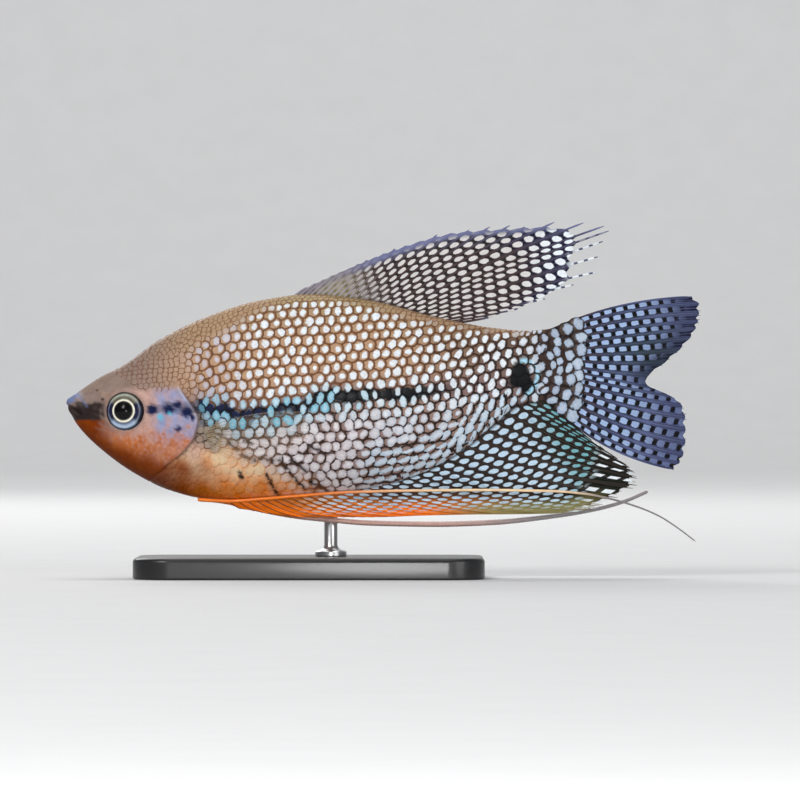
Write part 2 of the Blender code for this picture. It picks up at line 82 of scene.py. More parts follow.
# Lines of the head, as (z, x) for the gill edge and the nape's front, and (x, z) for the others.
GILL_EDGE = ((-18, 13), (-14.4, 16), (-11.6, 19.2), (-9.1, 22.3), (-6, 24.5), (-3.2, 25.1), (2.6, 21.9),
             (8, 19.5), (14, 17))
CHEEK_EDGE = ((14.3, 3.2), (16.2, 1.2), (15.9, -3.5), (14.9, -7.2), (12.2, -10.4))
NAPE_LEVEL = 2.3
NAPE_FRONT = ((2.3, 16.2), (2.8, 14.8), (4.2, 10.6), (5.4, 8.2), (6.5, 7.2), (9, 6.6), (22, 6.6))
EYE_CENTRE = (11.4, -1.5)
EYE_RADIUS = 3.85
EYE_HALF_THICKNESS = 1.9
EYE_SUNK = 0.9
EYE_OPENING = 3.42
EYE_TURNED_FORWARD = 12.0
EYE_TIPPED_UP = 3.0
PUPIL_RADIUS = 1.78
NOSTRILS = ((5.9, 2.4, 0.24), (7.0, 0.75, 0.32))
NAVY_SPOTS = ((16.4, -1.3, 0.9), (19.6, -1.2, 0.95), (21.3, -0.3, 0.7), (23.0, -1.7, 0.95),
              (21.4, -4.8, 0.45), (24.2, -2.6, 0.6))
TURQUOISE_SPOTS = ((18.0, -2.6, 0.6), (19.8, -2.0, 0.4))
UPPER_LIP = ((0, 0), (0.5, 0.6), (1.5, 1.5))
LIP_GLEAM = (2.6, 1.5)
GILL_OLIVE = (29, -6)
PECTORAL_ROOT = (24.6, -9.3)
DORSAL_OLIVE = (51, 22)
MOUTH = ((0, -0.35), (1.3, -0.75), (2.7, -1.9))
LIP_CREASE = ((1.9, 1.9), (3.0, 0.9), (4.0, -0.6))

# Tones of the eye, in sRGB from 0 to 1.
IRIS_GOLD = (0.56, 0.55, 0.46)
IRIS_NAVY = (0.07, 0.09, 0.27)
IRIS_PALE = (0.66, 0.75, 0.88)
IRIS_SHADE = (0.1, 0.1, 0.13)
IRIS_RIM = (0.76, 0.8, 0.82)
# Painted shade round the edge of the eye, where the skin of the socket meets it.
EYE_EDGE_SHADE = (0.08, 0.08, 0.1)
PUPIL_RING = (0.98, 0.96, 0.88)
PUPIL_BLACK = (0.008, 0.008, 0.012)

# Marks of the body, as (x, z): the dark stripe, the line under it, and the pale streak by the tail blotch.
STRIPE = ((15.6, -0.7), (17.5, -0.9), (20.5, -0.6), (23, -1.1), (25, -0.5), (27.5, -1.1), (30.5, -1.2),
          (33, -2.4), (36, -1.4), (38.5, -1.9), (41, -0.8), (44, -1.0), (47, 0.9), (50, 1.6), (54, 1.2),
          (58, 1.9), (63, 1.4), (67, 2.2), (71, 2.6), (75, 3.0))
LOWER_STRIPE = ((26, -3.6), (28.5, -4.6), (31, -5.0), (33.6, -4.2), (37, -5.2), (40, -4.4))
BELLY_DASHES = (((30.8, -7.4), (32.5, -8.7)), ((33.8, -7.0), (35.3, -7.6)), ((33.1, -9.8), (35.9, -10.8)),
                ((36.7, -10.4), (39.5, -11.0)), ((32.9, -13.0), (33.4, -14.2)), ((38.0, -13.4),
                (40.0, -17.2)), ((40.4, -10.8), (45.0, -16.1)), ((42.5, -10.4), (45.4, -12.9)),
                ((46.1, -14.7), (49.5, -16.6)), ((46.5, -8.2), (49.0, -9.6)), ((27.2, -5.4), (29.8, -6.0)))
TAIL_BLOTCH = (85.9, 4.7)
TAIL_BLOTCH_REACH = (2.5, 2.4)
TAIL_STREAK = ((86.2, 8.2), (88.2, 7.6), (89.2, 5.6), (88.7, 3.2), (87.2, 1.7))

# A scale's rings as shares of its reach, its points round each ring, and the distance between rows.
SCALE_RINGS = (0.5, 0.84, 1.0, 1.0)
SCALE_TURNS = 12
ROW_GAP = 0.9
ROOT_COLUMNS = (-0.05, 0.03, 0.11, 0.19)

# Each fin is a fan of rays. A row gives, at share u of the way along its base: the ray's tip (x, z),
# the angle at which the ray leaves the base, and how much of the ray the membrane reaches.
RAY_BEND = 0.5
HEXAGON_CAP = ((0, 2, 1), (0, 3, 2), (0, 4, 3), (0, 5, 4))
DORSAL_BASE = (42.8, 73.0)
DORSAL_FAN = ((0, 45.6, 21.9, 44, 0.98), (0.18, 54, 25.8, 45, 0.98), (0.36, 63.1, 29.6, 45, 0.97),
              (0.5, 75, 32.9, 42, 0.96), (0.6, 85.5, 33.7, 38, 0.95), (0.67, 94.5, 34.3, 33, 0.93),
              (0.72, 102.4, 33.8, 29, 0.85), (0.77, 103, 32.2, 27, 0.83), (0.81, 100.7, 29.2, 24, 0.85),
              (0.86, 100.6, 25, 19, 0.83), (0.9, 96.2, 22.3, 15, 0.86), (0.94, 89.4, 19.2, 10, 0.92),
              (1, 80.7, 16.4, 5, 0.94))
ANAL_BASE = (30.0, 90.6)
ANAL_FAN = ((0, 33, -20, -52, 0.99), (0.1, 45.5, -21.6, -34, 0.98), (0.2, 59, -21.5, -28, 0.97),
            (0.3, 72, -20.9, -26, 0.96), (0.4, 83, -20.7, -24, 0.95), (0.5, 94, -20.7, -23, 0.93),
            (0.6, 99.8, -19.9, -22, 0.92), (0.7, 104.5, -17.9, -22, 0.95), (0.77, 108.7, -15.1, -21, 0.95),
            (0.83, 108, -13.6, -25, 0.96), (0.9, 107, -12.4, -30, 0.96), (0.95, 105.4, -11.2, -37, 0.97),
            (1, 102.6, -9.4, -45, 0.98))
UPPER_LOBE_FAN = ((0, 118.2, 20.2, 26, 1), (0.14, 120, 18.6, 22, 0.99), (0.28, 119.9, 16.4, 17, 0.99),
                  (0.5, 119.2, 13.9, 9, 0.99), (0.7, 116.6, 10.5, 1, 0.99), (0.85, 113.2, 7.5, -6, 0.99),
                  (1, 110, 4.5, -12, 0.99))
LOWER_LOBE_FAN = ((0, 110, 3.6, -12, 0.99), (0.12, 113.4, 1.9, -14, 0.99), (0.25, 116.4, 0, -18, 0.99),
                  (0.4, 117.3, -2.6, -25, 0.99), (0.6, 117.4, -6.6, -34, 0.99),
                  (0.8, 116.8, -10.4, -43, 0.99), (1, 114.8, -12.6, -49, 1))
PECTORAL_BASE = ((25.9, -5.0), (27.6, -8.6))
PECTORAL_FAN = ((0, 45, -1.6, 24, 0.98), (0.2, 47.2, -3.6, 14, 0.97), (0.4, 46.8, -6.2, 4, 0.97),
                (0.6, 43.6, -8.8, -8, 0.97), (0.8, 38.6, -10.7, -20, 0.97), (1, 33.6, -11.2, -32, 0.98))
PECTORAL_FLARE = 4.2
ANAL_SPOT_ROWS = 32

LEFT_PELVIC = ((24.9, -18.2), (31, -18.5), (37, -18.1), (44, -17.5), (54, -16.8), (66, -16.5), (79, -16.4),
               (92, -16.6), (98, -17.1), (103, -18.1), (108, -19.6), (112, -21.3), (115.6, -23.6),
               (118.9, -26.1))
RIGHT_PELVIC = ((24.9, -18.1), (30, -18.7), (34, -19.6), (38, -20.5), (44, -21.5), (50, -22.1), (58, -22.7),
                (70, -22.9), (80, -22.6), (92, -21.4), (100, -20.1), (105.5, -18.6), (110, -16.7))
LEFT_PELVIC_RADII = (0.36, 0.27, 0.26, 0.12)
RIGHT_PELVIC_RADII = (0.36, 0.5, 0.52, 0.3)

ROD_PLACE = (50.0, 3.4)
ROD_RADIUS = 1.25
ROD_FOOT_RADIUS = 3.0
ROD_FOOT_HEIGHT = 1.0
BASE_BLACK = (0.1, 0.1, 0.105)
ROD_STEEL = (0.78, 0.78, 0.78)

# The photograph's frame: a level view from the left, 800 px or 151.2 mm wide at the fish.
VIEW_WIDTH = 151.2
VIEW_CENTRE = (3.1, 33.6)
CAMERA_DISTANCE = 1300.0
SENSOR = 36.0

# The stage in metres, and its lamps: name, place, size and share of the main light's power.
STAGE_FRONT, STAGE_BACK, STAGE_BEND, STAGE_TOP = -3.0, 1.9, 0.5, 2.6
STAGE_HALF_WIDTH = 3.5
BACKDROP_AIM = (0, 2.3, 0.3)
LAMPS = (("key", (-0.42, -0.75, 0.62), 0.42, 0.92), ("fill", (0.65, -0.8, 0.25), 0.6, 0.62),
         ("low fill", (0.02, -0.95, 0.07), 0.12, 0.3), ("top", (0.05, 0.15, 0.95), 0.5, 0.45),
         ("rear fill", (-0.35, 0.9, 0.6), 0.5, 0.6), ("backdrop", (0.0, 0.9, 1.8), 1.2, 5.4))
SKY_COLOUR = (0.93, 0.95, 1.0, 1.0)
SKY_STRENGTH = 0.2


def colour(name, description, red, green, blue):
    """A property for one colour of the fish, given as 0 to 255 in sRGB."""
    return bpy.props.FloatVectorProperty(
        name=name, description=description, default=(red / 255, green / 255, blue / 255), min=0, max=1,
        subtype="COLOR_GAMMA")


class GouramiColours(bpy.types.PropertyGroup):
    back_tan: colour("Back tan", "Small scales of nape and back", 176, 146, 114)
    flank_tan: colour("Flank tan", "Between the pearls of the upper flank", 190, 152, 120)
    stripe_mauve: colour("Stripe mauve", "Ground beside the dark stripe", 136, 110, 108)
    low_mauve: colour("Low mauve", "Ground of the lower flank", 150, 126, 120)
    rear_brown: colour("Rear brown", "Ground towards the tail", 92, 72, 64)
    net_brown: colour("Net brown", "Rims of the upper scales", 122, 82, 56)
    net_dark: colour("Net dark", "Rims of the lower and rear scales", 48, 36, 33)
    pearl: colour("Pearl", "Pearls of the flank", 240, 247, 252)
    # Soft pearl is also the painted highlight on the gill cover's rim and on the lip.
    pearl_soft_and_highlight: colour("Soft pearl", "Pearls just behind the gill cover", 198, 194, 208)
    pearl_turquoise: colour("Turquoise pearl", "Pearls along the front of the stripe", 100, 194, 222)
    streak_blue: colour("Streak blue", "Pale streak by the tail blotch", 172, 222, 244)
    pearl_pink: colour("Pink pearl", "Broad pearls of the lower flank", 216, 203, 205)
    ink: colour("Ink", "Dark stripe and tail blotch", 10, 12, 16)
    throat_orange: colour("Throat orange", "Throat and breast", 126, 52, 0)
    belly_orange: colour("Belly orange", "Front of the belly", 224, 126, 36)
    belly_tan: colour("Belly tan", "Pale bloom of the belly", 255, 220, 176)
    head_tan: colour("Head tan", "Top of head and snout", 142, 122, 113)
    # Snout dark is also the painted shade in the mouth slit, the nostril pits, the eye socket's edge and
    # behind the gill cover.
    snout_dark_and_shade: colour("Snout dark", "Band from lip to eye", 44, 35, 34)
    lip_lavender: colour("Lip lavender", "Upper lip", 112, 128, 172)
    cheek_orange: colour("Cheek orange", "Lower cheek", 186, 104, 52)
    cheek_mauve: colour("Cheek mauve", "Behind and under the eye", 198, 160, 148)
    gill_lavender: colour("Gill lavender", "Gill cover", 142, 156, 200)
    navy: colour("Navy", "Patches on the gill cover", 26, 36, 78)
    olive: colour("Olive", "Behind the gill cover, and along the dorsal base", 150, 144, 88)
    fin_spot: colour("Fin spot", "Spots of the dorsal fin", 220, 216, 214)
    fin_brown: colour("Fin brown", "Dark of the dorsal fin", 42, 34, 33)
    fin_lavender: colour("Fin lavender", "Top of the dorsal fin", 116, 120, 156)
    fin_night: colour("Fin night", "Rear of the dorsal fin", 18, 18, 48)
    anal_brown: colour("Anal fin brown", "Dark of the anal fin", 40, 31, 27)
    anal_night: colour("Anal fin night", "Rear of the anal fin", 10, 16, 8)
    anal_orange: colour("Anal fin orange", "Front and edge of the anal fin", 255, 124, 6)
    anal_spot: colour("Anal fin spot", "Spots of the anal fin", 196, 220, 238)
    anal_teal: colour("Anal fin teal", "Spots at the rear of the anal fin", 120, 182, 192)
    tail_spot: colour("Tail spot", "Blocks between the tail's rays", 164, 188, 226)
    tail_grey: colour("Tail grey", "Ground of the tail fin", 34, 33, 44)
    tail_lavender: colour("Tail lavender", "Edge of the tail fin", 98, 108, 152)
    tail_green: colour("Tail green", "Inside of the upper lobe", 26, 42, 32)
    thread_orange: colour("Thread orange", "Near pelvic fin", 250, 128, 20)
    thread_grey: colour("Thread grey", "Ends of the pelvic fins", 128, 122, 122)
    floor: colour("Floor", "Floor and backdrop", 226, 226, 226)


class GouramiSizes(bpy.types.PropertyGroup):
    scale_pitch: bpy.props.FloatProperty(
        name="Scale pitch", description="Distance from scale to scale along the flank", default=2.08 * MM,
        min=MM, unit="LENGTH", subtype="DISTANCE")
    small_pitch: bpy.props.FloatProperty(
        name="Small scale pitch", description="Distance from scale to scale on the nape", default=0.98 * MM,
        min=0.5 * MM, unit="LENGTH", subtype="DISTANCE")
    scale_rise: bpy.props.FloatProperty(
        name="Scale rise", description="How far a scale's rear edge stands up, as a share of the pitch",
        default=0.085, min=0.0, subtype="FACTOR")
    dorsal_rays: bpy.props.IntProperty(
        name="Dorsal rays", description="Number of spines and rays in the dorsal fin", default=30, min=5)
    anal_rays: bpy.props.IntProperty(
        name="Anal rays", description="Number of rays in the anal fin", default=37, min=5)
    lobe_rays: bpy.props.IntProperty(
        name="Tail lobe rays", description="Number of rays in each lobe of the tail fin", default=9, min=4)
    pectoral_rays: bpy.props.IntProperty(
        name="Pectoral rays", description="Number of rays in each pectoral fin", default=12, min=5)
    membrane: bpy.props.FloatProperty(
        name="Membrane", description="Thickness of the fins between their rays", default=0.14 * MM,
        min=0.02 * MM, unit="LENGTH", subtype="DISTANCE")
    light: bpy.props.FloatProperty(
        name="Light", description="Power of the main light", default=4.3, min=0.0, unit="POWER")


# Lines, sections and the unrolled flank


def smooth_line(stations, at):
    """Value at each place on the smooth line through the stations, which never overshoots them.

    Between two stations it is the cubic that has their values and the harmonic means of the slopes.
    """
    x, y = np.array(stations, float).T
    step = np.diff(x)
    slope = np.diff(y) / step
    same_way = slope[:-1] * slope[1:] > 0
    both = np.where(same_way, slope[:-1] + slope[1:], 1)
    joints = np.where(same_way, 2 * slope[:-1] * slope[1:] / both, 0)
    tangent = np.concatenate([slope[:1], joints, slope[-1:]])
    at = np.asarray(at, float)
    i = np.clip(np.searchsorted(x, at) - 1, 0, len(slope) - 1)
    t = np.clip((at - x[i]) / step[i], 0, 1)
    held = (2 * t**3 - 3 * t**2 + 1) * y[i] + (3 * t**2 - 2 * t**3) * y[i + 1]
    return held + step[i] * ((t**3 - 2 * t**2 + t) * tangent[i] + (t**3 - t**2) * tangent[i + 1])


def section(x, angle):
    """Point (y, z) of the body's section at x. The angle is 0 at the back and pi at the belly.

    z is the widest level plus the upper or lower height times the cosine, and y is the half width
    times the sine, raised below the widest level to the belly's own power.
    """
    level = smooth_line(WIDEST_LEVEL, x)
    cosine, sine = np.cos(angle), np.sin(angle)
    reach = np.where(cosine > 0, smooth_line(BACK_LINE, x) - level, level - smooth_line(BELLY_LINE, x))
    point = np.where(cosine > 0, 1.0, smooth_line(BELLY_POINT, x))
    return -smooth_line(HALF_WIDTH, x) * np.sign(sine) * np.abs(sine) ** point, level + reach * cosine


def flank_half_width(x, z):
    """Half width of the body at height z, and 0 above the back or below the belly."""
    level = smooth_line(WIDEST_LEVEL, x)
    reach = np.where(z > level, smooth_line(BACK_LINE, x) - level, level - smooth_line(BELLY_LINE, x))
    sine = np.sqrt(np.clip(1 - ((z - level) / reach) ** 2, 0, 1))
    return smooth_line(HALF_WIDTH, x) * sine ** np.where(z > level, 1.0, smooth_line(BELLY_POINT, x))


def to_world(points):
    """Points of the fish's frame in metres, in the frame of the CAD nodes."""
    return (points + np.array([-TOTAL_LENGTH / 2, 0, SNOUT_HEIGHT])) * MM


def ease(value, start, end):
    """0 before start and 1 after end, with a smooth rise between them; start may be the larger."""
    t = np.clip((value - start) / (end - start), 0, 1)
    return t * t * (3 - 2 * t)


def bump(value, centre, reach):
    """Bell curve of height 1."""
    return np.exp(-(((value - centre) / reach) ** 2))


def distance_to_route(x, z, route):
    """Distance in the side view from each point to the nearest run of a route."""
    nearest = np.full(np.broadcast(x, z).shape, np.inf)
    for start, end in zip(route, route[1:]):
        along = np.subtract(end, start)
        share = np.clip(((x - start[0]) * along[0] + (z - start[1]) * along[1]) / (along @ along), 0, 1)
        away_x, away_z = x - start[0] - share * along[0], z - start[1] - share * along[1]
        nearest = np.minimum(nearest, np.hypot(away_x, away_z))
    return nearest


def ripple(x, z, size, seed, waves=7):
    """Smooth irregular field from -1 to 1: the mean of a few sine waves in seeded directions."""
    draw = np.random.default_rng(seed)
    total = np.zeros(np.broadcast(x, z).shape)
    for _ in range(waves):
        turn, phase = draw.uniform(0, 2 * math.pi), draw.uniform(0, 2 * math.pi)
        stretch = draw.uniform(0.7, 1.4)
        total += np.sin((x * math.cos(turn) + z * math.sin(turn)) * 2 * math.pi / (size * stretch) + phase)
    return total / waves * 1.8


class Flank:
    """Table that turns x and the arc length round the section into the section's angle."""

    def __init__(self):
        self.x = np.linspace(0.02, 95.9, 280)
        angle = np.linspace(0, math.pi, 241)
        y, z = section(self.x[:, None], angle[None])
        step = np.hypot(np.diff(y, axis=1), np.diff(z, axis=1))
        arc = np.concatenate([np.zeros((len(self.x), 1)), np.cumsum(step, axis=1)], axis=1)
        middle = arc[:, 120:121]
        self.top, self.bottom = middle[:, 0], (middle - arc[:, -1:])[:, 0]
        self.shares = np.linspace(0, 1, 161)
        self.angles = np.stack([np.interp(self.shares, a / a[-1], angle) for a in arc])

    def reach(self, x):
        """Arc length from the widest level up to the back and down to the belly, at x."""
        return np.interp(x, self.x, self.top), np.interp(x, self.x, self.bottom)

    def angle(self, x, arc):
        """Angle of the section at x and at the arc length, which may run a little past back or belly."""
        top, bottom = self.reach(x)
        share = (top - arc) / (top - bottom)
        inside = np.clip(share, 0, 1)
        column = np.clip((np.asarray(x) - self.x[0]) / (self.x[1] - self.x[0]), 0, len(self.x) - 1.001)
        row = np.clip(inside * (len(self.shares) - 1), 0, len(self.shares) - 1.001)
        i, j = column.astype(int), row.astype(int)
        s, t = column - i, row - j
        near = self.angles[i, j] * (1 - t) + self.angles[i, j + 1] * t
        far = self.angles[i + 1, j] * (1 - t) + self.angles[i + 1, j + 1] * t
        angle = near * (1 - s) + far * s
        first = self.angles[i, 1]
        last = math.pi - self.angles[i, -2]
        past = np.where(share < 0, share * first, np.where(share > 1, (share - 1) * last, 0))
        return angle + (len(self.shares) - 1) * past

    def point(self, x, arc, side, out=0.0):
        """Point of the body's surface, and out past it along the surface's normal."""
        def at(x, arc):
            y, z = section(x, self.angle(x, arc))
            return np.stack([x, y * -side, z], -1)
        step = 0.05
        here = at(x, arc)
        normal = np.cross(at(x + step, arc) - here, at(x, arc + step) - here) * -side
        normal /= np.linalg.norm(normal, axis=-1, keepdims=True) + 1e-12
        return here + normal * np.asarray(out)[..., None]


FLANK = Flank()


# Relief and colours of the body, the same for skin and scales


def scale_cover(x, z):
    """1 where scales cover the body and 0 on the bare front and sides of the head."""
    below = z < NAPE_LEVEL
    front = np.where(below, smooth_line(GILL_EDGE, z) + 0.05, smooth_line(NAPE_FRONT, z))
    return ease(x, front - 0.1, front + np.where(below, 0.3, 6.0))


def scale_spacing(x, z, sizes):
    """Distance between neighbouring scales: small on nape, back and breast, full on the flank."""
    small, full = sizes.small_pitch / MM, sizes.scale_pitch / MM
    below_back = smooth_line(BACK_LINE, x) - z
    band = (0.7 + 0.35 * ripple(x, z, 17, 3)) * ease(x, 84, 66) + 2.6 * ease(x, 40, 26)
    growth = 1.6 + 1.8 * ease(x, 46, 30)
    grown = ease(below_back, band, band + growth) * ease(x + 0.25 * z, 21.5, 30)
    breast = ease(x, 33, 24) * ease(z, -9, -13)
    return small + (full - small) * grown * (1 - 0.35 * breast)


def head_relief(x, z):
    """How far the head's skin stands out: lips, mouth, nostrils, eye socket, cheek and gill edges."""
    to_mouth = distance_to_route(x, z, MOUTH)
    lips = 0.22 * bump(to_mouth, 0.8, 0.45) * np.clip(x / 0.8, 0, 1)
    mouth = -0.42 * bump(to_mouth, 0, 0.24) * np.clip(x / 0.5, 0, 1)
    crease = -0.07 * bump(distance_to_route(x, z, LIP_CREASE), 0, 0.3)
    to_eye = distance_to_spot(x, z, EYE_CENTRE)
    socket = 0.2 * bump(to_eye, EYE_OPENING + 0.42, 0.42)
    socket = socket - 1.9 * ease(to_eye, EYE_OPENING + 0.12, EYE_OPENING - 0.3)
    orbit = -0.12 * bump(to_eye, EYE_OPENING + 1.5, 0.6)
    cheek = -0.16 * bump(distance_to_route(x, z, CHEEK_EDGE), 0, 0.3)
    pits = 0.0
    for *place, radius in NOSTRILS:
        to_nostril = distance_to_spot(x, z, place)
        pits = pits + 0.1 * bump(to_nostril, radius + 0.22, 0.2)
        pits = pits - 0.45 * ease(to_nostril, radius, radius * 0.4)
    behind = smooth_line(GILL_EDGE, z) - x
    on_cover = ease(z, -14.5, -11) * ease(z, 4.6, 2.2)
    edge = 0.38 * bump(behind, 0, 1.5) * (behind > -0.05)
    edge = edge - 0.18 * bump(behind, -0.35, 0.4) * (behind < 0.05)
    return lips + mouth + crease + socket + orbit + cheek + pits + edge * on_cover


def linear(colours):
    """Plain numbers for shading from sRGB values."""
    c = np.array(colours, float)
    return np.where(c <= 0.04045, c / 12.92, ((c + 0.055) / 1.055) ** 2.4)


def blend(one, other, share):
    """Colours one turned into colour other by each point's share."""
    return one + (linear(other) - one) * np.clip(share, 0, 1)[..., None]


def painted(ground, *coats):
    """The ground under a row of coats, each a colour and its share at every point."""
    for tone, share in coats:
        ground = blend(ground, tone, share)
    return ground


def plain(tone, like):
    """One colour at every point."""
    return np.broadcast_to(linear(tone), like.shape + (3,))


def body_height(x, z):
    """0 at the belly line and 1 at the back line."""
    low, high = smooth_line(BELLY_LINE, x), smooth_line(BACK_LINE, x)
    return (z - low) / np.maximum(high - low, 1e-6)


def stripe_level(x):
    """Height of the dark stripe, held level past its ends."""
    return smooth_line(STRIPE, np.clip(x, 16, 75))


def distance_to_spot(x, z, place, x_scale=1.0, z_scale=1.0):
    """Distance in the side view to a place, counted larger along x or z by the scales."""
    return np.hypot((x - place[0]) * x_scale, (z - place[1]) * z_scale)


def stripe_share(x, z):
    """How dark the stripe and the line under it make each point."""
    wobble = 0.5 * ripple(x, z, 2.3, 11)
    fade = ease(x, 77, 67) * (0.3 + 0.7 * ease(x, 23.5, 26)) * ease(x, 15, 17)
    width = 0.72 + 0.2 * ease(x, 20, 26) * ease(x, 33, 29) + 0.33 * ease(x, 44, 50)
    main = ease(distance_to_route(x, z, STRIPE) + wobble, width + 0.3, width - 0.05) * fade
    lower = ease(distance_to_route(x, z, LOWER_STRIPE) + wobble, 0.55, 0.2) * 0.6
    return np.maximum(main, lower)


def ink_share(x, z):
    """How far ink covers each point, pearls and all: the belly's dashes and the tail blotch."""
    uneven = 0.1 * ripple(x, z, 1.5, 4)
    dashes = [ease(distance_to_route(x, z, dash) + uneven, 0.5, 0.2) for dash in BELLY_DASHES]
    return np.maximum(np.max(dashes, axis=0), blotch_share(x, z))


def streak_share(x, z):
    """How much of the pale streak beside the tail blotch each point has."""
    return ease(distance_to_route(x, z, TAIL_STREAK) + 0.15 * ripple(x, z, 1.6, 19), 0.55, 0.25)


def blotch_share(x, z):
    """How dark the blotch at the base of the tail makes each point."""
    reach = np.hypot((x - TAIL_BLOTCH[0]) / TAIL_BLOTCH_REACH[0], (z - TAIL_BLOTCH[1]) / TAIL_BLOTCH_REACH[1])
    return ease(reach + 0.42 * ripple(x, z, 3.4, 17), 1.2, 0.95)


def orange_share(x, z):
    """How far the orange of throat and breast reaches, and that of the belly behind it."""
    edge = np.interp(x, (0, 3, 8, 14, 20, 26, 30), (-4, -4.2, -6.6, -9.6, -10.2, -10.5, -12))
    throat = ease(z + 0.7 * ripple(x, z, 6, 5), edge + 1.2, edge - 2.2) * ease(x, 33, 22)
    top = np.interp(x, (18, 24, 30, 38, 46, 54), (-8, -9.5, -8.5, -12, -15, -17))
    belly = ease(z + 0.9 * ripple(x, z, 5, 6), top + 2.5, top - 2) * ease(x, 54, 36)
    return throat, belly * ease(x, 15, 21)


def ground_colours(x, z, c):
    """Colour of the ground under the pearls at each point, with stripe, blotch, head, belly and painted shade
    under the throat.
    """
    height, level = body_height(x, z), stripe_level(x)
    beside = ease(x, 24, 27) * ease(x, 60, 46)
    patchy = np.clip(0.75 + ripple(x, z, 3.4, 44), 0, 1)
    throat, belly = orange_share(x, z)
    bloom = 0.5 + 0.5 * ripple(x, z, 4.2, 7)
    ground = painted(
        plain(c.flank_tan, x),
        (c.back_tan, ease(height, 0.74, 0.95)),
        (c.olive, 0.35 * ease(height, 0.9, 0.98) * ease(x, 36, 42) * ease(x, 66, 54)),
        (c.rear_brown, 0.9 * ease(x, 60, 84) * ease(height, 1.02, 0.86)),
        (c.stripe_mauve, 0.85 * bump(z, level, 3.2)),
        (c.low_mauve, ease(z, level - 1.5, level - 4.5) * (1 - 0.5 * ease(x, 60, 80))),
        (c.navy, 0.85 * bump(z, level - 0.7, 2.2) * beside * patchy),
        (c.pearl_turquoise, 0.35 * bump(z, level - 0.8, 1.9) * beside),
        (c.olive, 0.5 * bump(distance_to_spot(x, z, GILL_OLIVE, z_scale=1.1), 0, 3.8)),
        (c.net_dark, 0.85 * ease(x, 86, 91)),
        (c.belly_tan, belly * 0.8),
        (c.belly_orange, belly * np.clip(0.5 - 0.5 * bloom + 0.9 * ease(z, -12, -18), 0, 1)))
    ground = head_colours(x, z, ground, c)
    ground = blend(ground, c.throat_orange, throat * (0.92 - 0.3 * bloom * ease(x, 17, 24)))
    # Painted shade: the throat darkened towards the belly line, where it faces down.
    ground = ground * (1 - 0.4 * throat * ease(height, 0.2, 0.0) * ease(x, 26, 16))[..., None]
    stripe = stripe_share(x, z)
    return painted(
        ground,
        (c.cheek_mauve, 0.7 * bump(distance_to_spot(x, z, PECTORAL_ROOT, 1.1, 0.85), 0, 1.5)),
        (c.ink, stripe),
        (c.navy, 0.6 * stripe * ease(x, 48, 36)),
        (c.ink, ink_share(x, z)),
        (c.streak_blue, streak_share(x, z)))


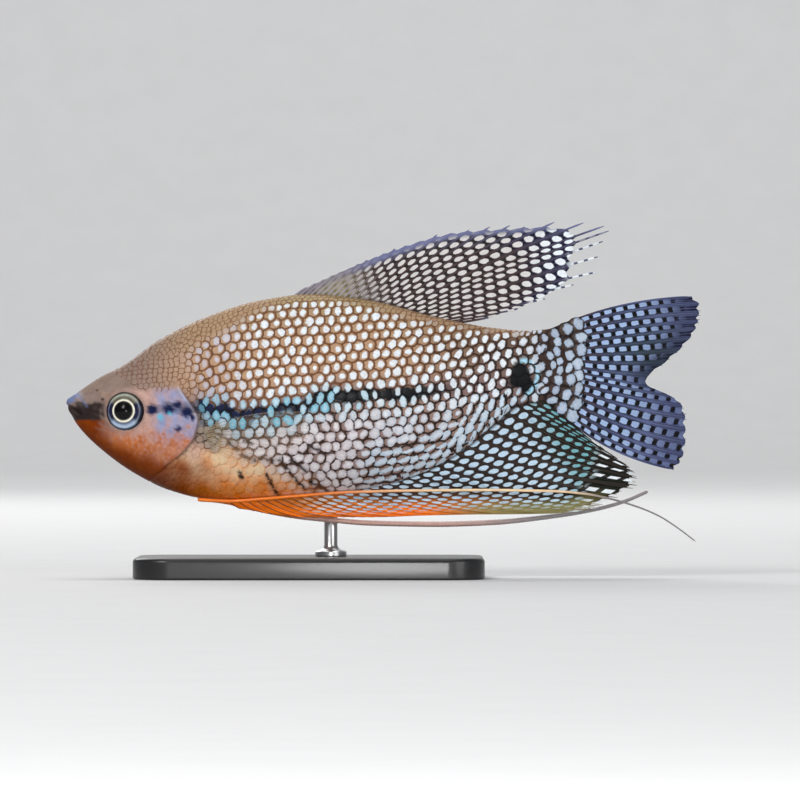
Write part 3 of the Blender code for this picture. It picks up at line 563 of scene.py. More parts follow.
def head_colours(x, z, ground, c):
    """Ground with the head's own colours (snout, lips, eye band, cheek, gill cover) and painted shade and
    highlights.
    """
    behind = smooth_line(GILL_EDGE, z) - x
    head = ease(behind, -0.1, 0.25) * ease(z, 3.4, 1.7)
    crown = ease(x, 26, 12) * ease(z, 0.5, 2.5)
    fine = ripple(x, z, 0.85, 31, waves=15)
    mottled = 0.5 + 0.4 * ripple(x, z, 2.6, 8, waves=11) + 0.35 * fine
    on_cover = head * ease(x, 15.5, 18.5)
    low = ease(z + 2.2 * mottled, -2.6, -7.2)
    navy = [(c.navy,
             head * ease(distance_to_spot(x, z, spot, z_scale=1.1) + 0.35 * fine, reach + 0.5, reach - 0.25))
            for *spot, reach in NAVY_SPOTS]
    turquoise = [(c.pearl_turquoise,
                  0.8 * head * ease(distance_to_spot(x, z, spot) + 0.2 * fine, reach + 0.2, reach - 0.25))
                 for *spot, reach in TURQUOISE_SPOTS]
    # Painted highlight along the gill cover's raised upper rim, and painted shade just behind its edge.
    rim = bump(behind, 0.3, 0.25) * ease(z, -4, -2.5) * ease(z, 3.4, 2.4)
    edge_shade = bump(behind, -0.15, 0.28) * ease(z, 3.2, 1.8) * ease(z, -15, -12)
    ground = painted(
        ground,
        (c.head_tan, np.maximum(crown * 0.9, head * ease(x, 9, 6))),
        (c.cheek_mauve, head * ease(x, 8, 12)),
        (c.gill_lavender, on_cover * ease(z, -9.5, -4.5) * np.clip(0.15 + 1.1 * mottled, 0, 0.95)),
        (c.cheek_orange, head * low * ease(x, 4, 8) * np.clip(1 - 0.55 * mottled * ease(x, 12, 18), 0, 1)),
        (c.cheek_mauve, head * 0.3 * ease(fine, 0.1, 0.5) * ease(x, 10, 14)),
        *navy, *turquoise,
        # Painted highlight on the gill cover's rim, then painted shade behind its edge.
        (c.pearl_soft_and_highlight, 0.6 * rim),
        (c.snout_dark_and_shade, 0.55 * edge_shade))

    speckle = ripple(x, z, 1.1, 61, waves=15)
    uneven = 0.65 * ripple(x, z, 2.4, 12, waves=9) + 0.25 * fine
    snout = ease(np.abs(z + 1.5 + uneven), 2.3, 1.2) * ease(x + 0.5 * speckle, 8.2, 6.4)
    lip = ease(distance_to_route(x, z, UPPER_LIP) + 0.25 * speckle, 1.25, 0.45)
    ground = painted(
        ground,
        (c.snout_dark_and_shade, snout * ease(x, 1.2, 2.4) * (0.95 - 0.14 * ease(speckle, -0.2, 0.6))),
        (c.snout_dark_and_shade, 0.92 * ease(z, -0.5, -1.0) * ease(x + 0.5 * speckle, 6.8, 4.6)),
        (c.throat_orange,
         ease(z + 0.15 * speckle, -2.95, -3.45) * ease(x + 0.8 * speckle, 9.5, 5) * ease(x, 0.6, 1.4)),
        (c.lip_lavender, lip * ease(z, -0.7, -0.1) * (0.95 - 0.25 * ease(speckle, -0.3, 0.5))),
        (c.pearl_soft_and_highlight, 0.45 * bump(distance_to_spot(x, z, LIP_GLEAM), 0, 0.7)),
        (c.lip_lavender, 0.4 * bump(distance_to_route(x, z, LIP_CREASE), 0, 0.3) * ease(z, -2, 0)),
        # Painted shade in the mouth slit.
        (c.snout_dark_and_shade, 0.85 * bump(distance_to_route(x, z, MOUTH), 0, 0.3)))
    # Painted shade: the underside of the head darkened towards the belly line.
    under = ease(body_height(x, z), 0.3, 0.02) * ease(x, 27, 15) * ease(x, 1.5, 5)
    ground = ground * (1 - 0.5 * under)[..., None]
    to_eye = distance_to_spot(x, z, EYE_CENTRE)
    # Painted shade in the nostril pits.
    nostrils = [(c.snout_dark_and_shade, 0.65 * ease(distance_to_spot(x, z, place), radius * 1.2, radius * 0.5))
                for *place, radius in NOSTRILS]
    return painted(
        ground, *nostrils,
        (c.head_tan, 0.5 * bump(to_eye, EYE_OPENING + 0.35, 0.3)),
        # Painted shade where the skin dips into the eye socket.
        (c.snout_dark_and_shade, 0.6 * ease(to_eye, EYE_OPENING + 0.12, EYE_OPENING - 0.1)))


def net_colours(x, z, c):
    """Colour of the scales' rims."""
    height, level = body_height(x, z), stripe_level(x)
    throat, belly = orange_share(x, z)
    return painted(
        plain(c.net_brown, x),
        (c.net_dark, 0.9 * ease(z, level + 3.0, level - 1.5)),
        (c.net_dark, ease(x, 54, 84) * ease(height, 1.0, 0.8)),
        (c.net_dark, ease(x, 82, 89)),
        (c.belly_orange, 0.8 * belly),
        (c.throat_orange, throat),
        (c.ink, 0.55 * ease(x, 58, 80) * ease(z, level + 3, level - 3)),
        (c.ink, np.maximum(stripe_share(x, z), blotch_share(x, z))))


def pearl_looks(x, z, spacing, c, draw):
    """Colour, strength, two radii and tilt of the pearl of each scale, radii as shares of the pitch."""
    level = stripe_level(x)
    full = np.maximum(ease(spacing, 1.05, 1.85), ease(x, 83, 88))
    low = ease(z, level - 1.8, level - 5)
    near_stripe = bump(z, level - 0.8, 2.6) * ease(x, 24, 27)
    turquoise = np.clip(1.25 * near_stripe * ease(x, 60, 44) + 0.45 * near_stripe * ease(x, 80, 56), 0, 1)
    hem = ease(x, 52, 60) * ease(body_height(x, z), 0.3, 0.18)
    rear_low = np.maximum(ease(x, 72, 80) * ease(z, 3, -1), hem) * ease(x, 89, 86)
    front = ease(x, 38, 27)
    pearl = painted(
        plain(c.pearl, x),
        (c.pearl_soft_and_highlight, front),
        (c.pearl_pink, low * 0.85 * ease(x, 88, 70)),
        (c.pearl_turquoise, turquoise * (0.4 + 0.6 * draw.random(x.shape))),
        (c.anal_spot, np.maximum(rear_low * 0.85, 0.5 * low * ease(x, 50, 68))),
        (c.anal_spot, 0.8 * ease(x, 87, 92)),
        (c.gill_lavender, (0.2 + 0.25 * draw.random(x.shape)) * ease(x, 83, 90)))
    tan = ground_colours(x, z, c) * 1.12
    pearl = tan + (pearl - tan) * full[..., None]
    throat, belly = orange_share(x, z)
    warm = np.clip(throat + belly, 0, 1)
    pearl = pearl + (np.minimum(tan * 1.1, 0.8) - pearl) * (0.85 * warm)[..., None]
    core = ease(distance_to_route(x, z, STRIPE), 0.75, 0.4) * ease(x, 25, 27) * ease(x, 74, 66)
    hidden = core * (draw.random(x.shape) < 0.55)
    hidden = np.maximum(hidden, np.maximum(blotch_share(x, z), streak_share(x, z)))
    strength = (0.45 + 0.55 * full) * (1 - 0.55 * warm) * (1 - throat) * (hidden < 0.5)
    strength = strength * (1 - 0.12 * ease(x, 84, 89)) * (1 - 0.2 * front * (1 - turquoise))
    strength = strength * (1 - 0.05 * turquoise) * (1 - 0.14 * draw.random(x.shape))
    uneven = draw.standard_normal(x.shape) * (1 - 0.6 * ease(x, 86, 90))
    size = 0.3 + 0.115 * low + (0.035 + 0.02 * low) * uneven + 0.14 * (1 - full) + 0.06 * turquoise
    size = size + 0.02 * front * (1 - low) * full + 0.1 * ease(x, 86, 91)
    tall = 1.25 + 0.35 * near_stripe + 0.2 * front * (1 - low)
    tall = tall + (0.2 + 0.15 * low) * draw.standard_normal(x.shape) - 0.1 * low
    tall = np.clip(tall + 0.35 * core, 0.7, 2.2) * (1 - 0.35 * rear_low)
    tilt = (0.3 + 0.5 * low) * draw.standard_normal(x.shape) * (1 - rear_low)
    tilt = tilt + rear_low * (0.2 + 0.7 * ease(x, 68, 80))
    wide = size / np.sqrt(tall) * (1 + 0.6 * rear_low)
    return pearl, strength, wide, size * np.sqrt(tall) * (1 - 0.3 * rear_low), tilt


# Meshes


def grid_faces(rows, columns, wrap=False, start=0):
    """Quads of a grid of points, as rows of four indices. The columns close on themselves if wrap."""
    count = columns if wrap else columns - 1
    i, j = np.meshgrid(np.arange(rows - 1), np.arange(count), indexing="ij")
    after = (j + 1) % columns
    corners = i * columns + j, i * columns + after, (i + 1) * columns + after, (i + 1) * columns + j
    return np.stack(corners, -1).reshape(-1, 4) + start


def outward(points, faces):
    """The faces, turned round if the closed shell they make has its inside out."""
    corners = points[np.asarray(faces)[:, :3]]
    opposite = points[np.asarray(faces)[:, -1]]
    volume = np.einsum("ij,ij->i", corners[:, 0], np.cross(corners[:, 1], corners[:, 2])).sum()
    if np.asarray(faces).shape[1] == 4:
        volume += np.einsum("ij,ij->i", corners[:, 0], np.cross(corners[:, 2], opposite)).sum()
    return faces if volume > 0 else np.asarray(faces)[:, ::-1]


def closed_rings(rings, poles):
    """Points and faces of a shell of rings of points, closed by a fan round a pole at each end."""
    count, around = rings.shape[:2]
    points = np.concatenate([rings.reshape(-1, 3), poles])
    quads = grid_faces(count, around, wrap=True)
    first = np.arange(around)
    last = first + (count - 1) * around
    pole = np.full(around, count * around)
    caps = np.concatenate([np.stack([pole, np.roll(first, -1), first], -1),
                           np.stack([pole + 1, last, np.roll(last, -1)], -1)])
    turned = outward(points, quads)
    return points, (turned, caps if turned is quads else caps[:, ::-1])


def circle(count):
    """Angles of a ring's points."""
    return np.arange(count) / count * 2 * math.pi


def link_object(name, data):
    made = bpy.data.objects.new(name, data)
    bpy.context.scene.collection.objects.link(made)
    return made


def mesh_piece(name, points, face_sets, material, replaced=(), smooth_angle=None):
    """Object of the points (fish's frame) and sets of faces, riding on the one body of the model."""
    mesh = bpy.data.meshes.new(name)
    faces = [tuple(face) for faces in face_sets for face in np.asarray(faces).tolist()]
    mesh.from_pydata(to_world(points).tolist(), [], faces)
    mesh.shade_smooth()
    if smooth_angle:
        mesh.set_sharp_from_angle(angle=math.radians(smooth_angle))
    mesh.materials.append(material)
    piece = link_object(name, mesh)
    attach(piece, "root")
    if replaced:
        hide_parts(*replaced)
    return piece


def add_uv(piece, name, places):
    """UV map that gives each corner the place of its vertex."""
    mesh = piece.data
    corners = np.zeros(len(mesh.loops), np.int32)
    mesh.loops.foreach_get("vertex_index", corners)
    layer = mesh.uv_layers.new(name=name)
    layer.data.foreach_set("uv", np.asarray(places, np.float32)[corners].ravel())


def add_values(piece, name, kind, key, values):
    """Attribute on the vertices, of one number or three."""
    layer = piece.data.attributes.new(name, kind, "POINT")
    layer.data.foreach_set(key, values.astype(np.float32).ravel())


def add_colours(piece, name, colours, strength=None):
    """Colour attribute on the vertices, with a strength kept in its alpha."""
    values = np.ones((len(piece.data.vertices), 4), np.float32)
    values[:, :3] = colours
    if strength is not None:
        values[:, 3] = strength
    add_values(piece, name, "FLOAT_COLOR", "color", values)


# Materials


def add_node(tree, kind, inputs=(), **settings):
    """New node with settings and inputs, each a value or a socket to link from."""
    node = tree.nodes.new(kind)
    for name, value in settings.items():
        setattr(node, name, value)
    for key, value in dict(inputs).items():
        if isinstance(value, bpy.types.NodeSocket):
            tree.links.new(value, node.inputs[key])
        else:
            node.inputs[key].default_value = value
    return node


def tree_of(*values):
    """The node tree of the first socket among the values."""
    return next(value.id_data for value in values if isinstance(value, bpy.types.NodeSocket))


def calc(operation, *values):
    return add_node(tree_of(*values), "ShaderNodeMath", enumerate(values), operation=operation).outputs[0]


def times(*values):
    return calc("MULTIPLY", *values)


def plus(*values):
    return calc("ADD", *values)


def minus(*values):
    return calc("SUBTRACT", *values)


def off_centre(value):
    """How far the value's fraction is from a half."""
    return calc("ABSOLUTE", minus(calc("FRACT", value), 0.5))


def rise(value, start, end, low=0.0, high=1.0):
    """Smooth step from low at start to high at end."""
    node = add_node(tree_of(value), "ShaderNodeMapRange", {0: value, 1: start, 2: end, 3: low, 4: high},
                    interpolation_type="SMOOTHSTEP")
    return node.outputs[0]


def mixed(share, one, other, blend_type="MIX"):
    node = add_node(tree_of(share, one, other), "ShaderNodeMix", {0: share, 6: one, 7: other},
                    data_type="RGBA", blend_type=blend_type)
    return node.outputs[2]


def object_place(tree):
    return add_node(tree, "ShaderNodeTexCoord").outputs["Object"]


def map_place(tree, name):
    return add_node(tree, "ShaderNodeUVMap", (), uv_map=name).outputs[0]


def noise_at(place, scale, detail):
    inputs = {"Vector": place, "Scale": scale, "Detail": detail}
    return add_node(place.id_data, "ShaderNodeTexNoise", inputs).outputs[0]


def parts_of(vector):
    return add_node(vector.id_data, "ShaderNodeSeparateXYZ", {0: vector}).outputs


def length_of(vector):
    return add_node(vector.id_data, "ShaderNodeVectorMath", {0: vector}, operation="LENGTH").outputs["Value"]


def group_tree(name, inputs, outputs):
    """Empty node group with its sockets, each given as a name and its kind."""
    tree = bpy.data.node_groups.new(name, "ShaderNodeTree")
    for socket, kind, default in inputs:
        made = tree.interface.new_socket(name=socket, in_out="INPUT", socket_type=kind)
        if default is not None:
            made.default_value = default
    for socket, kind in outputs:
        tree.interface.new_socket(name=socket, in_out="OUTPUT", socket_type=kind)
    return tree, tree.nodes.new("NodeGroupInput"), tree.nodes.new("NodeGroupOutput")


def use_group(tree, name, inputs):
    """The named node group's outputs, placed with its own values."""
    return add_node(tree, "ShaderNodeGroup", inputs, node_tree=bpy.data.node_groups[name]).outputs


def living_colour(colour, amount, patch=900.0, speck=5200.0):
    """The colour varied in patches and specks, and the height of its grain."""
    made = use_group(colour.id_data, "living colour", {
        "Colour": colour, "Patch size": patch, "Speck size": speck, "Amount": amount})
    return made["Colour"], made["Grain"]


def build_mottling():
    """Group that varies a colour in broad patches and fine specks, and gives a grain height."""
    tree, given, result = group_tree(
        "living colour",
        (("Colour", "NodeSocketColor", None), ("Patch size", "NodeSocketFloat", 900.0),
         ("Speck size", "NodeSocketFloat", 5200.0), ("Amount", "NodeSocketFloat", 0.2)),
        (("Colour", "NodeSocketColor"), ("Grain", "NodeSocketFloat")))
    place = object_place(tree)
    patch = noise_at(place, given.outputs["Patch size"], 3.0)
    speck = noise_at(place, given.outputs["Speck size"], 2.0)
    both = plus(times(patch, 0.6), times(speck, 0.4))
    change = times(minus(both, 0.5), times(given.outputs["Amount"], 4.0))
    bright = plus(change, 1.0)
    hue = plus(times(change, 0.03), 0.5)
    varied = add_node(tree, "ShaderNodeHueSaturation",
                      {"Color": given.outputs["Colour"], "Value": bright, "Hue": hue})
    tree.links.new(varied.outputs[0], result.inputs["Colour"])
    tree.links.new(both, result.inputs["Grain"])


def build_ray_spots():
    """Group that marks one oval in each cell of a lattice laid along the rays.

    Across counts the spaces between rays and Along the pitches from the base. Every second row is
    shifted by half a pitch, and each row by its own small amount.
    """
    tree, given, result = group_tree(
        "spots between rays",
        [(name, "NodeSocketFloat", value) for name, value in (
            ("Across", 0.0), ("Along", 0.0), ("Shift", 0.0), ("Half length", 0.33), ("Half width", 0.36),
            ("Edge", 0.12), ("Squareness", 2.0))],
        (("Mask", "NodeSocketFloat"),))
    row = calc("FLOOR", given.outputs["Across"])
    across = minus(calc("FRACT", given.outputs["Across"]), 0.5)
    own = add_node(tree, "ShaderNodeTexWhiteNoise", {"W": row}, noise_dimensions="1D").outputs["Value"]
    half = times(calc("MODULO", row, 2.0), 0.5)
    shift = plus(plus(half, given.outputs["Shift"]), times(own, 0.22))
    along = minus(calc("FRACT", plus(given.outputs["Along"], shift)), 0.5)
    wobble = times(minus(noise_at(object_place(tree), 1500.0, 1.0), 0.5), 0.5)
    square = given.outputs["Squareness"]
    sideways = calc("POWER", calc("DIVIDE", calc("ABSOLUTE", across), given.outputs["Half width"]), square)
    lengthways = calc("POWER", calc("DIVIDE", calc("ABSOLUTE", along), given.outputs["Half length"]), square)
    reach = plus(calc("POWER", plus(sideways, lengthways), calc("DIVIDE", 1.0, square)), wobble)
    low, high = plus(1.0, given.outputs["Edge"]), minus(1.0, given.outputs["Edge"])
    tree.links.new(rise(reach, low, high), result.inputs["Mask"])


def new_material(name):
    """Material with its tree and its Principled shader."""
    material = bpy.data.materials.new(name)
    material.use_nodes = True
    return material, material.node_tree, material.node_tree.nodes["Principled BSDF"]


def attribute(tree, name):
    return add_node(tree, "ShaderNodeAttribute", (), attribute_name=name, attribute_type="GEOMETRY")


def shade(tree, shader, colour_socket, height, distance, **values):
    """Feeds the shader its colour and a bump of the height, and sets its other plain values."""
    tree.links.new(colour_socket, shader.inputs["Base Color"])
    relief = add_node(tree, "ShaderNodeBump", {"Height": height, "Distance": distance, "Strength": 0.6})
    tree.links.new(relief.outputs[0], shader.inputs["Normal"])
    for name, value in values.items():
        shader.inputs[name.replace("_", " ")].default_value = value


def skin_material():
    """Moist skin: painted ground, mottled, with a cover of tiny cells in its relief."""
    material, tree, shader = new_material("moist skin")
    colour_now, grain = living_colour(attribute(tree, "ground").outputs["Color"], 0.22)
    cells = add_node(tree, "ShaderNodeTexVoronoi", {"Vector": object_place(tree), "Scale": 1050.0},
                     feature="DISTANCE_TO_EDGE")
    height = plus(times(rise(cells.outputs["Distance"], 0.0, 0.25), 0.6), grain)
    shade(tree, shader, colour_now, height, 0.00006, Roughness=0.5, Coat_Weight=0.04, Coat_Roughness=0.16,
          Specular_IOR_Level=0.05)
    return material


def scale_material():
    """Scale: ground, a dark rim, one pale pearl with a painted highlight in its middle, and fine growth rings
    in its relief.
    """
    material, tree, shader = new_material("pearled scale")
    from_middle, from_pearl = (length_of(map_place(tree, name)) for name in ("rim", "spot"))
    place = object_place(tree)
    wobble = times(minus(noise_at(place, 1500.0, 2.0), 0.5), 1.05)
    ground, net, pearl = (attribute(tree, name) for name in ("ground", "net", "pearl"))
    rim = times(rise(plus(from_middle, times(wobble, 0.22)), 0.61, 0.84), net.outputs["Alpha"])
    under = mixed(rim, ground.outputs["Color"], net.outputs["Color"])
    reach = plus(from_pearl, wobble)
    mask = times(times(rise(reach, 1.2, 0.82), pearl.outputs["Alpha"]), ground.outputs["Alpha"])
    dull = mixed(1.0, pearl.outputs["Color"], (0.84, 0.86, 0.9, 1.0), "MULTIPLY")
    streaked = mixed(rise(noise_at(place, 2600.0, 2.0), 0.35, 0.62), dull, pearl.outputs["Color"])
    # Painted highlight: the middle of each pearl whitened.
    glow = times(rise(reach, 0.9, 0.1, 0.0, 0.4), calc("POWER", pearl.outputs["Alpha"], 4.0))
    shine = mixed(glow, streaked, (1.0, 1.0, 1.0, 1.0))
    colour_now, grain = living_colour(mixed(mask, under, shine), 0.13, patch=1400.0)
    rings = calc("SINE", times(from_middle, 24.0))
    height = plus(plus(times(rings, 0.12), grain), times(mask, 0.8))
    shade(tree, shader, colour_now, height, 0.00004, Roughness=0.42, Coat_Weight=0.05, Coat_Roughness=0.18,
          Specular_IOR_Level=0.12)
    return material


def fin_material(name, pitch, dots, dash_pitch, dash_every=1.0):
    """Rayed fin: smoky ground, pale spots or blocks between the rays, dots between those, ray lines.

    The map "rays" holds the place across, counted in spaces between spot rows, and the distance along
    the ray in millimetres. The map "lines" holds the place counted in rays.
    """
    material, tree, shader = new_material(name)
    ground, mark, ray, shape = (attribute(tree, key) for key in ("ground", "mark", "ray", "shape"))
    fine = attribute(tree, "fine").outputs["Fac"]
    across, run, _ = parts_of(map_place(tree, "rays"))
    rays, line_run, _ = parts_of(map_place(tree, "lines"))
    long, wide, line_strength = parts_of(shape.outputs["Vector"])
    along = calc("DIVIDE", run, pitch)
    spots = use_group(tree, "spots between rays", {
        "Across": across, "Along": along, "Half length": long, "Half width": wide,
        "Squareness": 3.2 if dots else 2.0})
    spot = times(spots["Mask"], mark.outputs["Alpha"])
    own_ray = plus(rays, 0.5)
    from_ray = off_centre(own_ray)
    line = times(rise(from_ray, 0.13, 0.05), line_strength)
    ray_number = calc("FLOOR", own_ray)
    dash_place = off_centre(plus(calc("DIVIDE", line_run, dash_pitch), times(ray_number, 0.37)))
    dash = times(times(rise(dash_place, 0.34, 0.28), ray.outputs["Alpha"]), rise(from_ray, 0.32, 0.18))
    dash = times(dash, calc("LESS_THAN", calc("MODULO", ray_number, dash_every), 0.5))
    twig = times(rise(off_centre(times(rays, 3.0)), 0.19, 0.06), fine)
    colour_now = mixed(line, ground.outputs["Color"], ray.outputs["Color"])
    colour_now = mixed(times(twig, 0.7), colour_now, ray.outputs["Color"])
    colour_now = mixed(spot, colour_now, mark.outputs["Color"])
    colour_now = mixed(times(twig, 0.3), colour_now, ray.outputs["Color"])
    if dots:
        dark = use_group(tree, "spots between rays", {
            "Across": across, "Along": along, "Shift": 0.5, "Half length": 0.2, "Half width": 0.27})
        shown = times(dark["Mask"], rise(mark.outputs["Alpha"], 0.3, 0.6))
        colour_now = mixed(shown, colour_now, (0.004, 0.004, 0.006, 1.0))
    colour_now, grain = living_colour(mixed(dash, colour_now, mark.outputs["Color"]), 0.14, patch=700.0)
    joints = calc("SINE", times(line_run, 14.0))
    height = plus(grain, times(joints, times(rise(from_ray, 0.2, 0.1), 0.25)))
    shade(tree, shader, colour_now, height, 0.00005, Roughness=0.5, Coat_Weight=0.03, Coat_Roughness=0.25,
          Specular_IOR_Level=0.1)
    tree.links.new(ground.outputs["Alpha"], shader.inputs["Alpha"])
    return material


def plain_material(name, roughness, metallic=0.0, coat=0.0, amount=0.12, patch=700.0, speck=5200.0,
                   depth=0.00005):
    """Finish whose colour comes from the attribute ground and varies a little."""
    material, tree, shader = new_material(name)
    colour_now, grain = living_colour(attribute(tree, "ground").outputs["Color"], amount, patch, speck)
    shade(tree, shader, colour_now, grain, depth, Roughness=roughness, Metallic=metallic, Coat_Weight=coat,
          Coat_Roughness=0.12)
    return material


# Pieces of the fish


def build_skin(colours, sizes):
    """One skin from snout to tail: rings of the body's section, pushed in or out by the relief.

    Up to the gill edge the rings follow that edge, so that it falls on a line of the mesh. Under the
    scales the skin lies in by their rise.
    """
    around, head_rings, body_rings = 256, 112, 150
    angle = circle(around)
    edge = np.full_like(angle, 20.0)
    for _ in range(40):
        edge = 0.5 * edge + 0.5 * smooth_line(GILL_EDGE, section(edge, angle)[1])
    end = BODY_REACH + BODY_REACH_POINT * (1 - np.abs(np.cos(angle)))
    head = 0.04 + (edge - 0.04) * np.linspace(0, 1, head_rings)[:, None] ** 1.25
    body = edge + (end - edge) * np.linspace(0, 1, body_rings + 1)[1:, None] ** 1.1
    x = np.concatenate([head, body])
    turn = np.broadcast_to(angle, x.shape)
    y, z = section(x, turn)
    points = np.stack([x, y, z], -1)
    step = 1e-3
    ahead = np.stack([x + step, *section(x + step, turn)], -1)
    round_on = np.stack([x, *section(x, turn + step)], -1)
    normal = np.cross(round_on - points, ahead - points)
    normal /= np.linalg.norm(normal, axis=-1, keepdims=True) + 1e-12
    cover = scale_cover(x, z)
    sunk = cover * sizes.scale_rise * scale_spacing(x, z, sizes)
    points = points + normal * (head_relief(x, z) - sunk)[..., None]
    tail = (end.min() + BODY_REACH_POINT, 0, smooth_line(WIDEST_LEVEL, 94))
    points, faces = closed_rings(points, [(0, 0, 0), tail])
    nodes = ("head", "torso", "tail_stalk", "gill_cover_left", "gill_cover_right")
    piece = mesh_piece("skin", points, faces, skin_material(), nodes)
    add_colours(piece, "ground", ground_colours(points[:, 0], points[:, 2], colours))
    return piece


def scale_places(sizes, seed):
    """Places of one side's scales as x and arc length, and the spacing at each.

    Rows are the level lines of the number of spacings up from the widest level. Along each row the
    scales follow at the spacing there, and a few steps then push apart those that came too near.
    """
    draw = np.random.default_rng(seed)
    x, arc = np.linspace(5, 95.5, 360), np.linspace(-24, 24, 481)
    z = section(x[:, None], FLANK.angle(x[:, None], arc[None]))[1]
    rows = np.cumsum(1 / (ROW_GAP * scale_spacing(x[:, None], z, sizes)), axis=1) * (arc[1] - arc[0])
    rows -= rows[:, 240:241]
    numbers = np.arange(-30, 31)
    level = np.stack([np.interp(numbers, row, arc, left=-99, right=99) for row in rows], 1)
    z = section(x[None], FLANK.angle(x[None], np.clip(level, -24, 24)))[1]
    length = np.cumsum(np.gradient(x)[None] / scale_spacing(x[None], z, sizes), axis=1)
    length -= length[:, 220:221]
    places = []
    for number, line, along in zip(numbers, level, length):
        turn = np.arange(math.ceil(along[0]), along[-1] - 1) + 0.5 * (number % 2)
        here = np.interp(turn, along, x)
        places.append(np.stack([here, np.interp(here, x, line)], -1))
    places = np.concatenate(places)
    top, bottom = FLANK.reach(places[:, 0])
    places = places[(places[:, 1] < top + 0.25) & (places[:, 1] > bottom - 0.25)]
    places += draw.normal(0, 0.06, places.shape)
    for _ in range(16):
        z = section(places[:, 0], FLANK.angle(places[:, 0], places[:, 1]))[1]
        spacing = scale_spacing(places[:, 0], z, sizes)
        gap = places[:, None] - places[None]
        distance = np.hypot(gap[..., 0], gap[..., 1]) + np.eye(len(places)) * 99
        wanted = 0.48 * (spacing[:, None] + spacing[None])
        push = np.clip(1 - distance / wanted, 0, 0.5)
        places = places + 0.35 * (gap / distance[..., None] * (push * wanted)[..., None]).sum(1)
    z = section(places[:, 0], FLANK.angle(places[:, 0], places[:, 1]))[1]
    kept = (scale_cover(places[:, 0] - 0.45, z) > 0.02) & (places[:, 0] < BODY_REACH - 3.2)
    loose = 0.09 + 0.08 * ease(z[kept], -1.5, -6)
    places = places[kept] + draw.normal(0, 1, (kept.sum(), 2)) * loose[:, None]
    return places, scale_spacing(places[:, 0], z[kept], sizes)


def scale_form():
    """One scale's points as shares of its size: back, across, ring, angle, and whether on its foot."""
    turn = (np.arange(SCALE_TURNS) + 0.5) / SCALE_TURNS * 2 * math.pi
    ring = np.concatenate([[0.0], np.repeat(SCALE_RINGS, SCALE_TURNS)])
    angle = np.concatenate([[0.0], np.tile(turn, len(SCALE_RINGS))])
    foot = np.arange(len(ring)) >= len(ring) - SCALE_TURNS
    return ring * np.cos(angle), ring * np.sin(angle) * (1 + 0.06 * np.cos(2 * angle)), ring, angle, foot


def scale_lift(sizes, spacing, cover):
    """How far each point of each scale stands out: front edge sunk, rear edge up, foot in the skin."""
    along, _, ring, _, foot = scale_form()
    rise_here = sizes.scale_rise * spacing[:, None] * (0.3 + 0.7 * cover)
    out = rise_here * (-1.1 + 1.3 * (along + 1) / 2 + 0.3 * (1 - ring**2))
    return np.where(foot, -1.6 * rise_here, out)


def scale_faces(count, flip):
    """Faces of all scales: a fan round the middle, rings of quads, and one face that closes the foot."""
    turns = SCALE_TURNS
    each = 1 + len(SCALE_RINGS) * turns
    fan = np.stack([np.zeros(turns, int), 1 + (np.arange(turns) + 1) % turns, 1 + np.arange(turns)], -1)
    quads = grid_faces(len(SCALE_RINGS), turns, wrap=True, start=1)
    close = np.arange(each - turns, each)[None]
    starts = np.arange(count)[:, None, None] * each
    sets = [(faces[None] + starts).reshape(-1, faces.shape[1]) for faces in (fan, quads, close)]
    return [faces[:, ::-1] for faces in sets] if flip else sets


